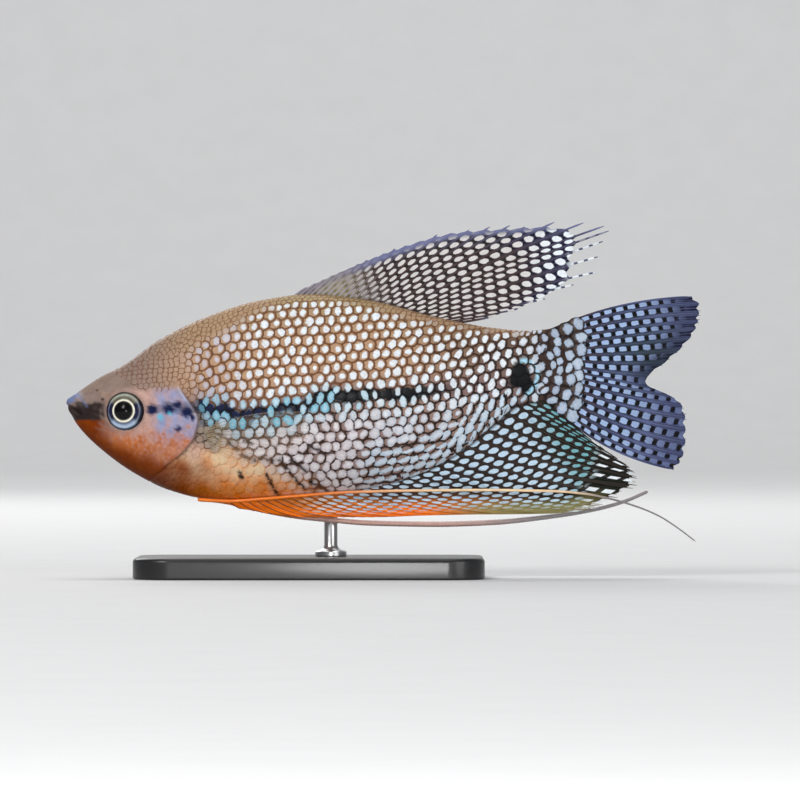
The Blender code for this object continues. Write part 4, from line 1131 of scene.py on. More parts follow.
def build_scales(word, side, seed, material, colours, sizes):
    """All scales of one side. Each is a low dome of rings round its middle, in x and arc length.

    Its rear half is round and stands up, its front half lies under the scales ahead, and its foot
    turns down into the skin. Over the root of the tail a few larger ones lie on the fin.
    """
    draw = np.random.default_rng(seed + 50)
    places, spacing = scale_places(sizes, seed)
    along, across, ring, angle, foot = scale_form()
    size = spacing * (1 + 0.05 * draw.standard_normal(len(spacing)))
    x0, arc0 = places[:, 0] - 0.16 * spacing, places[:, 1]
    top, bottom = FLANK.reach(x0)
    top_on, bottom_on = FLANK.reach(x0 + 1)
    share = (arc0 - bottom) / (top - bottom)
    slope = share * (top_on - top) + (1 - share) * (bottom_on - bottom)
    lie = np.arctan(slope) + 0.08 * draw.standard_normal(len(x0))
    a = along * 0.70 * size[:, None]
    b = across * 0.67 * size[:, None]
    x = x0[:, None] + a * np.cos(lie)[:, None] - b * np.sin(lie)[:, None]
    arc = arc0[:, None] + a * np.sin(lie)[:, None] + b * np.cos(lie)[:, None]
    z = section(x, FLANK.angle(x, arc))[1]
    points = FLANK.point(x, arc, side, scale_lift(sizes, spacing, scale_cover(x, z)))

    root_points, root_places, root_spacing, root_a, root_b = tail_root_scales(side, draw, sizes)
    body_count, count = len(places), len(places) + len(root_places)
    points = np.concatenate([points, root_points])
    centre_z = section(places[:, 0], FLANK.angle(places[:, 0], places[:, 1]))[1]
    centre_z = np.concatenate([centre_z, root_points[:, 0, 2]])
    places = np.concatenate([places, root_places])
    spacing = np.concatenate([spacing, root_spacing])
    a, b = np.concatenate([a, root_a]), np.concatenate([b, root_b])
    each = len(ring)
    sets = scale_faces(count, flip=side > 0)
    piece = mesh_piece(f"scales_{word}", points.reshape(-1, 3), sets, material)

    spread = np.where(foot, 1.0, ring * 0.92)
    flat_x = places[:, :1] + 0.46 * spacing[:, None] * spread * np.cos(angle)
    flat_arc = places[:, 1:] + 0.46 * spacing[:, None] * spread * np.sin(angle)
    low, left = flat_arc.min(), flat_x.min()
    bake = np.stack([(flat_x - left) / (flat_x.max() - left), (flat_arc - low) / (flat_arc.max() - low)], -1)
    add_uv(piece, "OFBake", (bake * 0.98 + 0.01).reshape(-1, 2))

    at_x = np.concatenate([places[:body_count, 0], root_points[:, 0, 0]])
    pearl, strength, wide, tall, turned = pearl_looks(at_x, centre_z, spacing, colours, draw)
    pearl_a, pearl_b = a - 0.2 * spacing[:, None], b
    cosine, sine = np.cos(turned)[:, None], np.sin(turned)[:, None]
    p = (pearl_a * cosine + pearl_b * sine) / (wide * spacing)[:, None]
    q = (-pearl_a * sine + pearl_b * cosine) / (tall * spacing)[:, None]
    add_uv(piece, "spot", np.stack([p, q], -1).reshape(-1, 2))
    rim = np.where(foot, 1.05, ring)
    rims = np.stack([rim * np.cos(angle), rim * np.sin(angle)], -1)
    add_uv(piece, "rim", np.broadcast_to(rims, (count, each, 2)).reshape(-1, 2))
    net_strength = net_shown(at_x, centre_z, spacing, draw)
    flat_x, flat_z = points[..., 0].ravel(), points[..., 2].ravel()
    add_colours(piece, "ground", ground_colours(flat_x, flat_z, colours), 1 - ink_share(flat_x, flat_z))
    add_colours(piece, "net", net_colours(flat_x, flat_z, colours), np.repeat(net_strength, each))
    add_colours(piece, "pearl", np.repeat(pearl, each, 0), np.repeat(strength, each))
    return piece


def tail_root_scales(side, draw, sizes):
    """Scales over the root of the tail fin, in columns across its rays, as wide as its rays lie apart."""
    fan = tail_shape()
    ts, us = [], []
    for number, share in enumerate(ROOT_COLUMNS):
        many = 7 + number % 2
        us.append((np.arange(many) + 0.5) / many)
        ts.append(np.full(many, share))
    u, t = np.concatenate(us), np.concatenate(ts)
    u = u + draw.normal(0, 0.006, u.shape)
    t = t + draw.normal(0, 0.006, t.shape)
    centre = fan.at(u, t)
    back = fan.at(u, t + 0.02) - centre
    back /= np.linalg.norm(back, axis=-1, keepdims=True)
    wide = fan.at(np.minimum(u + 0.02, 1), t) - fan.at(np.maximum(u - 0.02, 0), t)
    gap = np.linalg.norm(wide, axis=-1) / 0.04 / 7.5
    up = np.stack([-back[:, 1], back[:, 0]], -1)
    spacing = np.clip(gap, 1.3, 2.35)
    along, across, _, _, foot = scale_form()
    a = along * 0.72 * spacing[:, None]
    b = across * 0.66 * spacing[:, None]
    flat = centre[:, None] + a[..., None] * back[:, None] + b[..., None] * up[:, None]
    half = np.interp(flat[..., 0], (90, 92, 95, 100), (1.15, 0.8, 0.42, 0.2))
    out = half + scale_lift(sizes, spacing, np.ones_like(a)) * 0.8
    y = fan.aside(flat[..., 0], flat[..., 1], t[:, None]) + side * np.where(foot, 0.05, out)
    points = np.stack([flat[..., 0], y, flat[..., 1]], -1)
    places = np.stack([centre[:, 0] + 5, centre[:, 1] - 7.2], -1)
    return points, places, spacing, a, b


def net_shown(x, z, spacing, draw):
    """How strongly each scale's rim is dark: all on the flank, few on the belly, none on the breast."""
    throat, belly = orange_share(x, z)
    few = draw.random(x.shape) > 0.7
    shown = 0.8 + 0.2 * ease(spacing, 1.2, 1.8)
    return shown * (1 - throat * 0.97) * np.where(few, 1 - 0.8 * belly, 1 - 0.96 * belly)


def back_base(u):
    """Places of rays' roots along the back, a little inside the skin."""
    x = DORSAL_BASE[0] + (DORSAL_BASE[1] - DORSAL_BASE[0]) * u
    return np.stack([x, smooth_line(BACK_LINE, x) - 0.5], -1)


def belly_base(u):
    """Places of rays' roots along the belly, a little inside the skin."""
    x = ANAL_BASE[0] + (ANAL_BASE[1] - ANAL_BASE[0]) * u
    return np.stack([x, smooth_line(BELLY_LINE, x) + 0.5], -1)


def tail_base(u):
    """Places of rays' roots down the end of the body, under the last scales."""
    top, bottom = 13.6, 0.7
    z = top + (bottom - top) * u
    return np.stack([91.0 + 1.6 * (1 - np.abs(2 * u - 1)), z], -1)


def straight_base(u):
    start, end = np.array(PECTORAL_BASE)
    return start + (end - start) * np.asarray(u)[..., None]


def tail_fan():
    """Rays of both lobes as one fan: the upper lobe takes the first half of the base."""
    upper = [(0.5 * u * 0.98, *rest) for u, *rest in UPPER_LOBE_FAN]
    lower = [(0.51 + 0.49 * u, *rest) for u, *rest in LOWER_LOBE_FAN]
    return tuple(upper + lower)


def tail_shape():
    return Fan(tail_base, tail_fan(), wave(90, 9, 0.6))


class Fan:
    """Rays of a fin. Each is the quadratic curve from its root through its bend to its tip."""

    def __init__(self, base, rows, aside):
        self.base, self.rows, self.aside = base, rows, aside

    def web(self, u):
        return smooth_line([(row[0], row[4]) for row in self.rows], u)

    def length(self, u):
        tip = np.stack([smooth_line([(row[0], row[k]) for row in self.rows], u) for k in (1, 2)], -1)
        return np.linalg.norm(tip - self.base(u), axis=-1)

    def at(self, u, t):
        """Point (x, z) at share t of the ray at share u of the base."""
        tip_x, tip_z, lean = (smooth_line([(row[0], row[k]) for row in self.rows], u) for k in (1, 2, 3))
        start, tip, lean = self.base(u), np.stack([tip_x, tip_z], -1), np.radians(lean)
        length = np.linalg.norm(tip - start, axis=-1, keepdims=True)
        bend = start + RAY_BEND * length * np.stack([np.cos(lean), np.sin(lean)], -1)
        t = np.asarray(t)[..., None]
        return (1 - t) ** 2 * start + 2 * t * (1 - t) * bend + t**2 * tip

    def point(self, u, t, out=0.0):
        flat = self.at(u, t)
        y = self.aside(flat[..., 0], flat[..., 1], t) + out
        return np.stack([flat[..., 0], y, flat[..., 1]], -1)


def membrane_shell(fan, rays, between, rows, notch, thick, pleat):
    """Closed thin shell between the rays: both faces of a grid of rays by shares, joined at the rim.

    Its margin dips by the notch between two rays, it swells along each ray, and its pleats put every
    second ray on the other side of the middle.
    """
    columns = (rays - 1) * between + 1
    ray = np.linspace(0, rays - 1, columns)
    u = ray / (rays - 1)
    off_ray = np.abs(ray - np.round(ray)) * 2
    share = np.linspace(0, 1, rows)[:, None] * (fan.web(u) * (1 - notch * off_ray**1.5))
    u2 = np.broadcast_to(u, share.shape)
    fade = ease(share, 1.0, 0.75) * 0.6 + 0.4
    half = (thick / 2 * (1 + 0.7 * bump(off_ray, 0, 0.3)) * fade) * (1 + 3.0 * ease(share, 0.12, 0.0))
    half[-1] *= 0.35
    fold = pleat * np.cos(math.pi * ray) * ease(share, 0.0, 0.35)
    faces = [fan.point(u2, share, fold + way * half) for way in (-1, 1)]
    points = np.concatenate([face.reshape(-1, 3) for face in faces])
    count = rows * columns
    front = grid_faces(rows, columns)
    border = np.concatenate([np.arange(columns), np.arange(1, rows) * columns + columns - 1,
                             (rows - 1) * columns + np.arange(columns - 2, -1, -1),
                             np.arange(rows - 2, 0, -1) * columns])
    after = np.roll(border, -1)
    rim = np.stack([after, border, border + count, after + count], -1)
    quads = np.concatenate([front, front[:, ::-1] + count, rim])
    along = share * fan.length(u)
    data = [np.tile(v.ravel(), 2) for v in (u2, np.broadcast_to(ray, share.shape), share, along)]
    return points, outward(points, quads), data


def ray_tubes(fan, rays, radius, pleat, split, seed):
    """Closed tapering tubes, one for each ray, or two from where a soft ray splits.

    A tube's ring lies across the ray: its reach in the fin's plane and aside is the radius there.
    """
    draw = np.random.default_rng(seed)
    sets = []
    rows, sides = 30, len(HEXAGON_CAP) + 2
    reach = 1 - 0.05 * draw.random(rays) ** 2
    ray = np.arange(rays, dtype=float)[:, None]
    for way in (-1, 1) if split else (0,):
        t = np.linspace(0, 1, rows)[None] * reach[:, None]
        place = np.clip(ray + way * 0.24 * ease(t, 0.5, 0.95), 0, rays - 1)
        u = place / (rays - 1)
        fold = pleat * np.cos(math.pi * ray) * ease(t, 0.0, 0.35)
        centre = fan.point(u, t, fold)
        ahead = fan.point(u, np.minimum(t + 0.01, 1.01), fold)
        run = ahead - centre
        run /= np.linalg.norm(run, axis=-1, keepdims=True) + 1e-9
        aside = np.zeros_like(run)
        aside[..., 1] = 1
        up = np.cross(run, aside)
        r = radius * (0.85 - 0.4 * t if split else 1 - 0.25 * t)
        r[:, -1] *= 0.35
        turn = circle(sides)
        ring = (up[:, :, None] * np.cos(turn)[:, None] + aside[:, :, None] * np.sin(turn)[:, None] * 1.15)
        points = (centre[:, :, None] + ring * r[:, :, None, None]).reshape(-1, 3)
        one = grid_faces(rows, sides, wrap=True)
        caps = np.array(HEXAGON_CAP)
        caps = np.concatenate([caps, caps[:, ::-1] + (rows - 1) * sides])
        starts = np.arange(rays)[:, None, None] * rows * sides
        quads, ends = (one[None] + starts).reshape(-1, 4), (caps[None] + starts).reshape(-1, 3)
        turned = outward(points, quads)
        if turned is not quads:
            ends = ends[:, ::-1]
        spread = np.repeat(u.ravel(), sides), np.repeat(np.broadcast_to(ray, t.shape).ravel(), sides)
        sets.append((points, turned, ends, [*spread, np.repeat(t.ravel(), sides),
                                            np.repeat((t * fan.length(u)).ravel(), sides)]))
    return sets


def build_fin(name, fan, rays, replaced, material, paint, colours, spot_rows, radius, thick,
              notch=0.05, pleat=0.1, split=True, between=6, rows=56, seed=1):
    """A fin of membrane and rays, painted by a function of x, z, share, u and distance along the ray."""
    points, quads, data = membrane_shell(fan, rays, between, rows, notch, thick, pleat)
    all_points, all_faces, all_data = [points], [quads], [data]
    start = start_of_rays = len(points)
    for tube, tube_quads, ends, tube_data in ray_tubes(fan, rays, radius, pleat, split, seed):
        all_points.append(tube)
        all_faces += [tube_quads + start, ends + start]
        all_data.append(tube_data)
        start += len(tube)
    points = np.concatenate(all_points)
    u, ray, share, along = (np.concatenate([d[k] for d in all_data]) for k in range(4))
    piece = mesh_piece(name, points, all_faces, material, replaced)
    add_uv(piece, "rays", np.stack([u * spot_rows, along], -1))
    add_uv(piece, "lines", np.stack([ray, along], -1))
    looks = paint(colours, points[:, 0], points[:, 2], share, u, along)
    opacity = looks.get("opacity", spread(1, share))
    opacity[start_of_rays:] = np.minimum(opacity[start_of_rays:] * 3, 1)
    add_colours(piece, "ground", looks["ground"], opacity)
    add_colours(piece, "mark", looks["mark"], looks["spots"])
    add_colours(piece, "ray", looks["ray"], looks["dashes"])
    add_values(piece, "fine", "FLOAT", "value", looks["fine"])
    shape = np.stack([looks["long"], looks["wide"], looks["line"]], -1)
    add_values(piece, "shape", "FLOAT_VECTOR", "vector", shape)
    return piece


def spread(value, like):
    return np.full(like.shape, float(value))


def paint_dorsal(c, x, z, share, u, along):
    """Tan and olive at the front, smoky brown with pale ovals behind, lavender along the top."""
    front = ease(x + 0.5 * (z - 20), 64, 52)
    upper_edge = [(row[1], row[2]) for row in DORSAL_FAN[:7]]
    from_top = smooth_line(upper_edge, np.clip(x, 45.6, 102.4)) - z
    top = ease(from_top, 2.0, 0.7) * ease(u, 0.86, 0.74) * (1 - 0.6 * front)
    ground = painted(
        plain(c.fin_brown, x),
        (c.rear_brown, front * 0.6),
        (c.olive, 0.6 * bump(distance_to_spot(x, z, DORSAL_OLIVE), 0, 4.5)),
        (c.fin_night, ease(x, 76, 92) * ease(share, 0.35, 0.8)),
        (c.fin_lavender, top))
    ray = painted(
        ground,
        (c.stripe_mauve, 0.5),
        (c.fin_lavender, ease(share, 0.55, 0.95) * (1 - 0.6 * front)),
        (c.pearl_soft_and_highlight, 0.55 * front * (1 - top)),
        (c.fin_lavender, 0.6 * ease(share, 0.84, 0.93) * ease(u, 0.25, 0.35)))
    spots = (1 - top) * (1 - 0.75 * front) * ease(along, 0.4, 1.4)
    return {"ground": ground, "mark": blend(plain(c.fin_spot, x), c.pearl, ease(x, 84, 94)),
            "spots": np.clip(spots, 0, 1), "ray": ray, "dashes": ease(share, 0.8, 0.86) * ease(u, 0.74, 0.8),
            "long": spread(0.36, x), "wide": 0.34 - 0.05 * front, "line": 0.45 + 0.5 * np.maximum(top, front),
            "fine": 0.25 + 0.5 * top}


def paint_anal(c, x, z, share, u, along):
    """Orange in front and along the lower edge, brown with pale ovals above, dark with dashes behind."""
    lower_edge = np.interp(x, (30, 33, 45, 60, 72, 94, 104), (-18.3, -20, -21.6, -21.5, -20.9, -20.7, -18))
    up = z - lower_edge
    night = ease(x + 0.35 * (z + 10), 86, 99)
    glow = ease(up, 4.6, 1.0) * ease(x, 92, 66) + ease(x, 62, 44) * 0.9
    ground = painted(
        plain(c.anal_brown, x),
        (c.anal_night, night),
        (c.belly_orange, np.clip(glow, 0, 1) * 0.9),
        (c.anal_orange, ease(up, 3.2, 0.9) * ease(x, 88, 64)),
        (c.olive, 0.8 * ease(up, 3.2, 0.8) * ease(x, 66, 82) * ease(x, 104, 96)))
    far = ease(share, 0.66, 0.76) * ease(x, 96, 99)
    dashes = np.maximum(far, ease(share, 0.9, 0.97) * ease(x, 84, 96))
    mark = painted(
        plain(c.anal_spot, x),
        (c.anal_teal, ease(x + 0.5 * z, 84, 92) * ease(share, 0.92, 0.8)),
        (c.belly_tan, ease(x, 54, 40) * 0.9),
        (c.olive, 0.5 * ease(up, 2.6, 1.0) * ease(x, 64, 84)),
        (c.pearl, dashes))
    spots = ease(along, 0.3, 1.2) * (1 - 0.93 * ease(x, 50, 42)) * ease(up, 0.2, 1.4) * (1 - far)
    return {"ground": ground, "mark": mark, "spots": np.clip(spots, 0, 1),
            "ray": painted(ground, (c.low_mauve, 0.25), (c.anal_brown, ease(x, 66, 46) * 0.75)),
            "dashes": dashes, "long": 0.36 - 0.05 * night, "wide": 0.36 - 0.08 * night,
            "line": 0.35 + 0.5 * ease(x, 66, 46), "fine": 0.3 + 0.7 * night * (1 - far)}


def paint_tail(c, x, z, share, u, along):
    """Blue white blocks with black dots between the rays, green in the upper lobe, lavender edge."""
    edge = ease(share, 0.72, 0.96)
    ground = painted(
        plain(c.tail_grey, x),
        (c.net_dark, ease(x, 100, 95) * 0.7),
        (c.tail_green, bump(distance_to_spot(x, z, (111, 9.5), 0.6, 0.7), 0, 5.0)),
        (c.fin_night, edge * 0.8))
    ray = painted(
        ground,
        (c.stripe_mauve, 0.6),
        (c.tail_lavender, ease(share, 0.15, 0.5)),
        (c.fin_night, 0.4 * edge),
        (c.tail_green, 0.75 * bump(distance_to_spot(x, z, (111, 9), 0.6, 0.7), 0, 4.0)))
    spots = 1 - 0.75 * ease(share, 0.72, 0.98) * ease(u, 0.6, 0.4) - 0.3 * ease(share, 0.7, 0.95)
    mark = blend(plain(c.tail_spot, x), c.tail_lavender, 0.85 * ease(share, 0.5, 0.88))
    return {"ground": ground, "mark": mark, "spots": np.clip(spots, 0, 1), "ray": ray, "dashes": spread(0, x),
            "long": 0.37 - 0.03 * ease(share, 0.2, 0.4), "wide": 0.38 - 0.1 * ease(share, 0.15, 0.35),
            "line": ease(x, 95, 99) * 0.8, "fine": 0.35 + 0.65 * edge}


def paint_pectoral(c, x, z, share, u, along):
    """Clear membrane, faintly yellow, with rays that show as fine pale lines."""
    ground = plain(c.belly_tan, x)
    ground = blend(ground, c.olive, 0.5 * ease(share, 0.5, 0.0))
    ray = blend(ground, c.pearl_soft_and_highlight, 0.5)
    zero = spread(0, x)
    return {"ground": ground, "mark": ray, "spots": zero, "ray": ray, "dashes": zero, "long": zero + 0.3,
            "wide": zero + 0.3, "line": spread(0.9, x), "fine": zero,
            "opacity": 0.03 + 0.12 * ease(share, 0.3, 0.0)}


def wave(start, length, height):
    """Lateral wave of a fin that grows from its base to its edge."""
    return lambda x, z, share: height * np.sin((x - start) / length) * share


def flare(side):
    """A pectoral fin's place aside: beside the flank, further out towards its edge."""
    return lambda x, z, share: side * (flank_half_width(x, z) + 0.5 + PECTORAL_FLARE * share**1.3)


def build_thread(word, route, radii, side, node, shades):
    """Thread-like fin: a round tube along the smooth route, tapering, clear of body and anal fin."""
    count, sides = 240, 12
    x = np.linspace(route[0][0], route[-1][0], count)
    z = smooth_line(route, x)
    radius = np.interp(np.linspace(0, 1, count), np.linspace(0, 1, len(radii)), radii)
    y = side * np.maximum(flank_half_width(x, z + radius) + radius + 0.45, 1.25)
    smoothing = np.ones(9) / 9
    y = np.convolve(np.pad(y, 4, mode="edge"), smoothing, "valid")
    centre = np.stack([x, y, z], -1)
    run = np.gradient(centre, axis=0)
    run /= np.linalg.norm(run, axis=-1, keepdims=True)
    aside = np.array([0.0, 1.0, 0.0])
    up = np.cross(run, aside)
    turn = circle(sides)
    taper = radius * (1 + 0.04 * np.sin(x * 7))
    taper[-1] *= 0.3
    taper[0] *= 0.6
    ring = up[:, None] * np.cos(turn)[:, None] + aside * np.sin(turn)[:, None]
    points, faces = closed_rings(centre[:, None] + ring * taper[:, None, None], centre[[0, -1]])
    material = plain_material(f"{word} pelvic thread", 0.42, coat=0.25, amount=0.16)
    piece = mesh_piece(f"pelvic_thread_{word}", points, faces, material, (node,))
    x = points[:, 0]
    later = [(tone, ease(x, start, start + length)) for start, tone, length in shades[1:]]
    add_colours(piece, "ground", painted(plain(shades[0][1], x), *later))
    return piece


def build_eye(word, side, material):
    """Eye: a flattened ball whose front carries the iris and a domed pupil, turned into its socket.

    The surface is a function of the share from the middle of the front (0) to that of the back (1)
    and of the angle round it.
    """
    rings, around = 72, 96
    share = np.linspace(0, 1, rings)[:, None]
    turn = circle(around)[None]
    reach = EYE_RADIUS * np.sin(math.pi * share) + 0 * turn
    out = EYE_HALF_THICKNESS * np.cos(math.pi * share) + 0 * turn
    out = out + 0.28 * ease(reach, PUPIL_RADIUS + 0.1, 0.2) * (share < 0.5)
    out = out - 0.12 * bump(reach, PUPIL_RADIUS + 0.22, 0.16) * (share < 0.5)
    local = np.stack([reach * np.cos(turn), reach * np.sin(turn), out], -1)
    yaw, tip = math.radians(EYE_TURNED_FORWARD), math.radians(EYE_TIPPED_UP)
    normal = np.array([-math.sin(yaw) * math.cos(tip), side * math.cos(yaw) * math.cos(tip), math.sin(tip)])
    right = np.array([math.cos(yaw), side * math.sin(yaw), 0.0])
    up = np.cross(right, normal) * -side
    up = up if up[2] > 0 else -up
    x0, z0 = EYE_CENTRE
    centre = np.array([x0, side * (float(flank_half_width(np.array(x0), np.array(z0))) - EYE_SUNK), z0])
    points = centre + local[..., :1] * right + local[..., 1:2] * up + local[..., 2:] * normal
    points, faces = closed_rings(points[1:-1], points[[0, -1], 0])
    piece = mesh_piece(f"eyeball_{word}", points, faces, material, (f"eye_{word}",))
    places = np.concatenate([local[1:-1].reshape(-1, 3)[:, :2], np.zeros((2, 2))])
    add_uv(piece, "iris", places)
    r = np.hypot(places[:, 0], places[:, 1])
    height = np.sin(np.arctan2(places[:, 1], places[:, 0]))
    add_colours(piece, "ground", painted(
        plain(IRIS_GOLD, r),
        (IRIS_NAVY, ease(np.abs(height + 0.1), 0.8, 0.5)),
        (IRIS_PALE, ease(height, -0.5, -0.8) * ease(r, 2.1, 2.5) * 0.95),
        (IRIS_SHADE, 0.7 * bump(r, PUPIL_RADIUS + 0.68, 0.24)),
        (IRIS_RIM, (0.2 + 0.4 * np.abs(height)) * bump(r, 3.02, 0.13)),
        # Painted shade at the eye's edge, inside the socket's opening.
        (EYE_EDGE_SHADE, ease(r, 3.12, 3.4) * 0.9),
        (PUPIL_RING, ease(np.abs(r - PUPIL_RADIUS - 0.2), 0.25, 0.12)),
        (PUPIL_BLACK, ease(r, PUPIL_RADIUS + 0.09, PUPIL_RADIUS - 0.02))))
    return piece


def eye_material():
    """Wet eye: a clear coat over the painted iris, which has fine threads round the pupil."""
    material, tree, shader = new_material("wet eye")
    threads = noise_at(map_place(tree, "iris"), 3.2, 4.0)
    colour_now, _ = living_colour(attribute(tree, "ground").outputs["Color"], 0.2, patch=1500.0)
    shade(tree, shader, colour_now, threads, 0.00003, Roughness=0.4, Coat_Weight=0.35, Coat_Roughness=0.03,
          Specular_IOR_Level=0.05)
    return material


# Stand and stage


def rounded_outline(length, width, corner, count=22):
    """Outline of a rectangle with round corners, anticlockwise from +x."""
    turn = np.linspace(0, math.pi / 2, count)
    corners = []
    for k, (sx, sy) in enumerate(((1, 1), (-1, 1), (-1, -1), (1, -1))):
        a = turn + k * math.pi / 2
        corners.append(np.stack([sx * (length / 2 - corner) + corner * np.cos(a),
                                 sy * (width / 2 - corner) + corner * np.sin(a)], -1))
    return np.concatenate(corners)


def build_stand():
    """Base: the outline carried up a profile of height and inset. Rod: a turned profile into the belly."""
    low, high = (np.array(corner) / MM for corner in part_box("stand_base"))
    middle = (low + high) / 2
    profile = [(0.35, 0.0), (0.0, 0.35)]
    edge = np.linspace(0, math.pi / 2, 7)
    profile += [(0.8 * (1 - math.cos(a)), high[2] - 0.8 * (1 - math.sin(a))) for a in edge]
    rings = []
    for inset, level in profile:
        outline = rounded_outline(high[0] - low[0] - 2 * inset, high[1] - low[1] - 2 * inset, 7 - inset)
        rings.append(np.column_stack([outline + middle[:2], np.full(len(outline), level)]))
    fish_frame = np.array([TOTAL_LENGTH / 2, 0, -SNOUT_HEIGHT])
    poles = np.array([[middle[0], middle[1], 0.0], [middle[0], middle[1], high[2]]])
    points, faces = closed_rings(np.stack(rings) + fish_frame, poles + fish_frame)
    material = plain_material("satin black base", 0.38, coat=0.25, amount=0.25, patch=90.0, speck=2600.0,
                              depth=0.00002)
    base = mesh_piece("display_base", points, faces, material, ("stand_base",), 40)
    add_colours(base, "ground", plain(BASE_BLACK, points[:, 0]))

    foot = STAND_TOP
    shoulder = foot + ROD_FOOT_HEIGHT + 0.3
    rod_x, rod_y = ROD_PLACE
    surface = SNOUT_HEIGHT + float(section_height_at(rod_x, rod_y))
    profile = [(ROD_FOOT_RADIUS - 0.15, foot), (ROD_FOOT_RADIUS, foot + 0.15),
               (ROD_FOOT_RADIUS, shoulder - 0.45), (ROD_FOOT_RADIUS - 0.2, shoulder - 0.25),
               (ROD_RADIUS + 0.75, shoulder - 0.1), (ROD_RADIUS + 0.3, shoulder + 0.2),
               (ROD_RADIUS, shoulder + 0.75), (ROD_RADIUS, surface - 3), (ROD_RADIUS, surface + 0.6)]
    turn = circle(48)
    rings = [np.stack([rod_x + radius * np.cos(turn), rod_y + radius * np.sin(turn), 0 * turn + height], -1)
             for radius, height in profile]
    poles = np.array([[rod_x, rod_y, foot], [rod_x, rod_y, surface + 0.6]])
    drop = np.array([0, 0, SNOUT_HEIGHT])
    points, faces = closed_rings(np.stack(rings) - drop, poles - drop)
    material = plain_material("satin steel rod", 0.28, metallic=1.0, amount=0.1, patch=120.0, speck=4200.0,
                              depth=0.00001)
    rod = mesh_piece("display_rod", points, faces, material, ("stand_rod",), 35)
    add_colours(rod, "ground", plain(ROD_STEEL, points[:, 0]))


def section_height_at(x, y):
    """Height of the body's underside at x and y."""
    angle = np.linspace(math.pi / 2, math.pi, 400)
    across, z = section(np.full_like(angle, x), angle)
    return np.interp(abs(y), np.abs(across)[::-1], z[::-1])


def build_stage(colours, sizes):
    """Floor that curves up into a backdrop, lamps, world and camera.

    The floor's profile is a straight run back, a quarter round and a straight run up.
    """
    turn = np.linspace(0, math.pi / 2, 24)
    bend = np.stack([STAGE_BACK + STAGE_BEND * np.sin(turn), STAGE_BEND * (1 - np.cos(turn))], -1)
    profile = np.concatenate([np.linspace((STAGE_FRONT, 0), (STAGE_BACK, 0), 12), bend[1:],
                              [[STAGE_BACK + STAGE_BEND, STAGE_TOP]]])
    side = np.linspace(-STAGE_HALF_WIDTH, STAGE_HALF_WIDTH, 9)
    grid = np.stack(np.broadcast_arrays(side[None], profile[:, :1], profile[:, 1:]), -1)
    mesh = bpy.data.meshes.new("studio floor")
    mesh.from_pydata(grid.reshape(-1, 3).tolist(), [], grid_faces(len(profile), len(side)).tolist())
    mesh.shade_smooth()
    floor = link_object("studio_floor", mesh)
    material, tree, shader = new_material("pale floor")
    noise = noise_at(object_place(tree), 60.0, 4.0)
    tone = tuple(linear(colours.floor)) + (1.0,)
    paler = tuple(linear([v * 0.97 for v in colours.floor])) + (1.0,)
    shade(tree, shader, mixed(noise, tone, paler), noise, 0.0001, Roughness=0.75)
    mesh.materials.append(material)

    aim = np.array([VIEW_CENTRE[0] * MM, 0, VIEW_CENTRE[1] * MM])
    for name, place, size, share in LAMPS:
        lamp = bpy.data.lights.new(name, "AREA")
        lamp.shape, lamp.size, lamp.energy = "DISK", size, sizes.light * share
        lit = link_object(name, lamp)
        lit.location = place
        lit.visible_camera = False
        turn_object(lit, (BACKDROP_AIM if name == "backdrop" else aim) - np.array(place))
    bpy.context.scene.view_settings.view_transform = "Standard"
    world = bpy.data.worlds.new("studio")
    world.use_nodes = True
    background = world.node_tree.nodes["Background"]
    background.inputs["Color"].default_value = SKY_COLOUR
    background.inputs["Strength"].default_value = SKY_STRENGTH
    bpy.context.scene.world = world

    camera = bpy.data.cameras.new("photo view")
    camera.sensor_width = SENSOR
    camera.lens = SENSOR * CAMERA_DISTANCE / VIEW_WIDTH
    camera.clip_start, camera.clip_end = 0.05, 20
    eye = link_object("photo_view", camera)
    eye.location = (aim[0], -CAMERA_DISTANCE * MM, aim[2])
    eye.rotation_euler = (math.pi / 2, 0, 0)
    bpy.context.scene.camera = eye


def turn_object(obj, direction):
    """Points an object's -Z axis along the direction."""
    across = math.hypot(direction[0], direction[1])
    obj.rotation_euler = (math.atan2(across, -direction[2]), 0, math.atan2(-direction[0], direction[1]))


# The add-on


def settings():
    scene = bpy.context.scene
    return scene.gourami_colours, scene.gourami_sizes


class GOURAMI_OT_skin(bpy.types.Operator):
    """Make the one skin of head, body and tail stalk."""
    bl_idname = "gourami.skin"
    bl_label = "Skin"

    def execute(self, context):
        build_skin(*settings())
        return {"FINISHED"}


class GOURAMI_OT_scales(bpy.types.Operator):
    """Cover both sides with overlapping scales."""
    bl_idname = "gourami.scales"
    bl_label = "Scales"

    def execute(self, context):
        material = scale_material()
        for word, side, seed in (("left", -1, 4), ("right", 1, 9)):
            build_scales(word, side, seed, material, *settings())
        return {"FINISHED"}


class GOURAMI_OT_eyes(bpy.types.Operator):
    """Set both eyes in their sockets."""
    bl_idname = "gourami.eyes"
    bl_label = "Eyes"

    def execute(self, context):
        material = eye_material()
        for word, side in SIDES:
            build_eye(word, side, material)
        return {"FINISHED"}


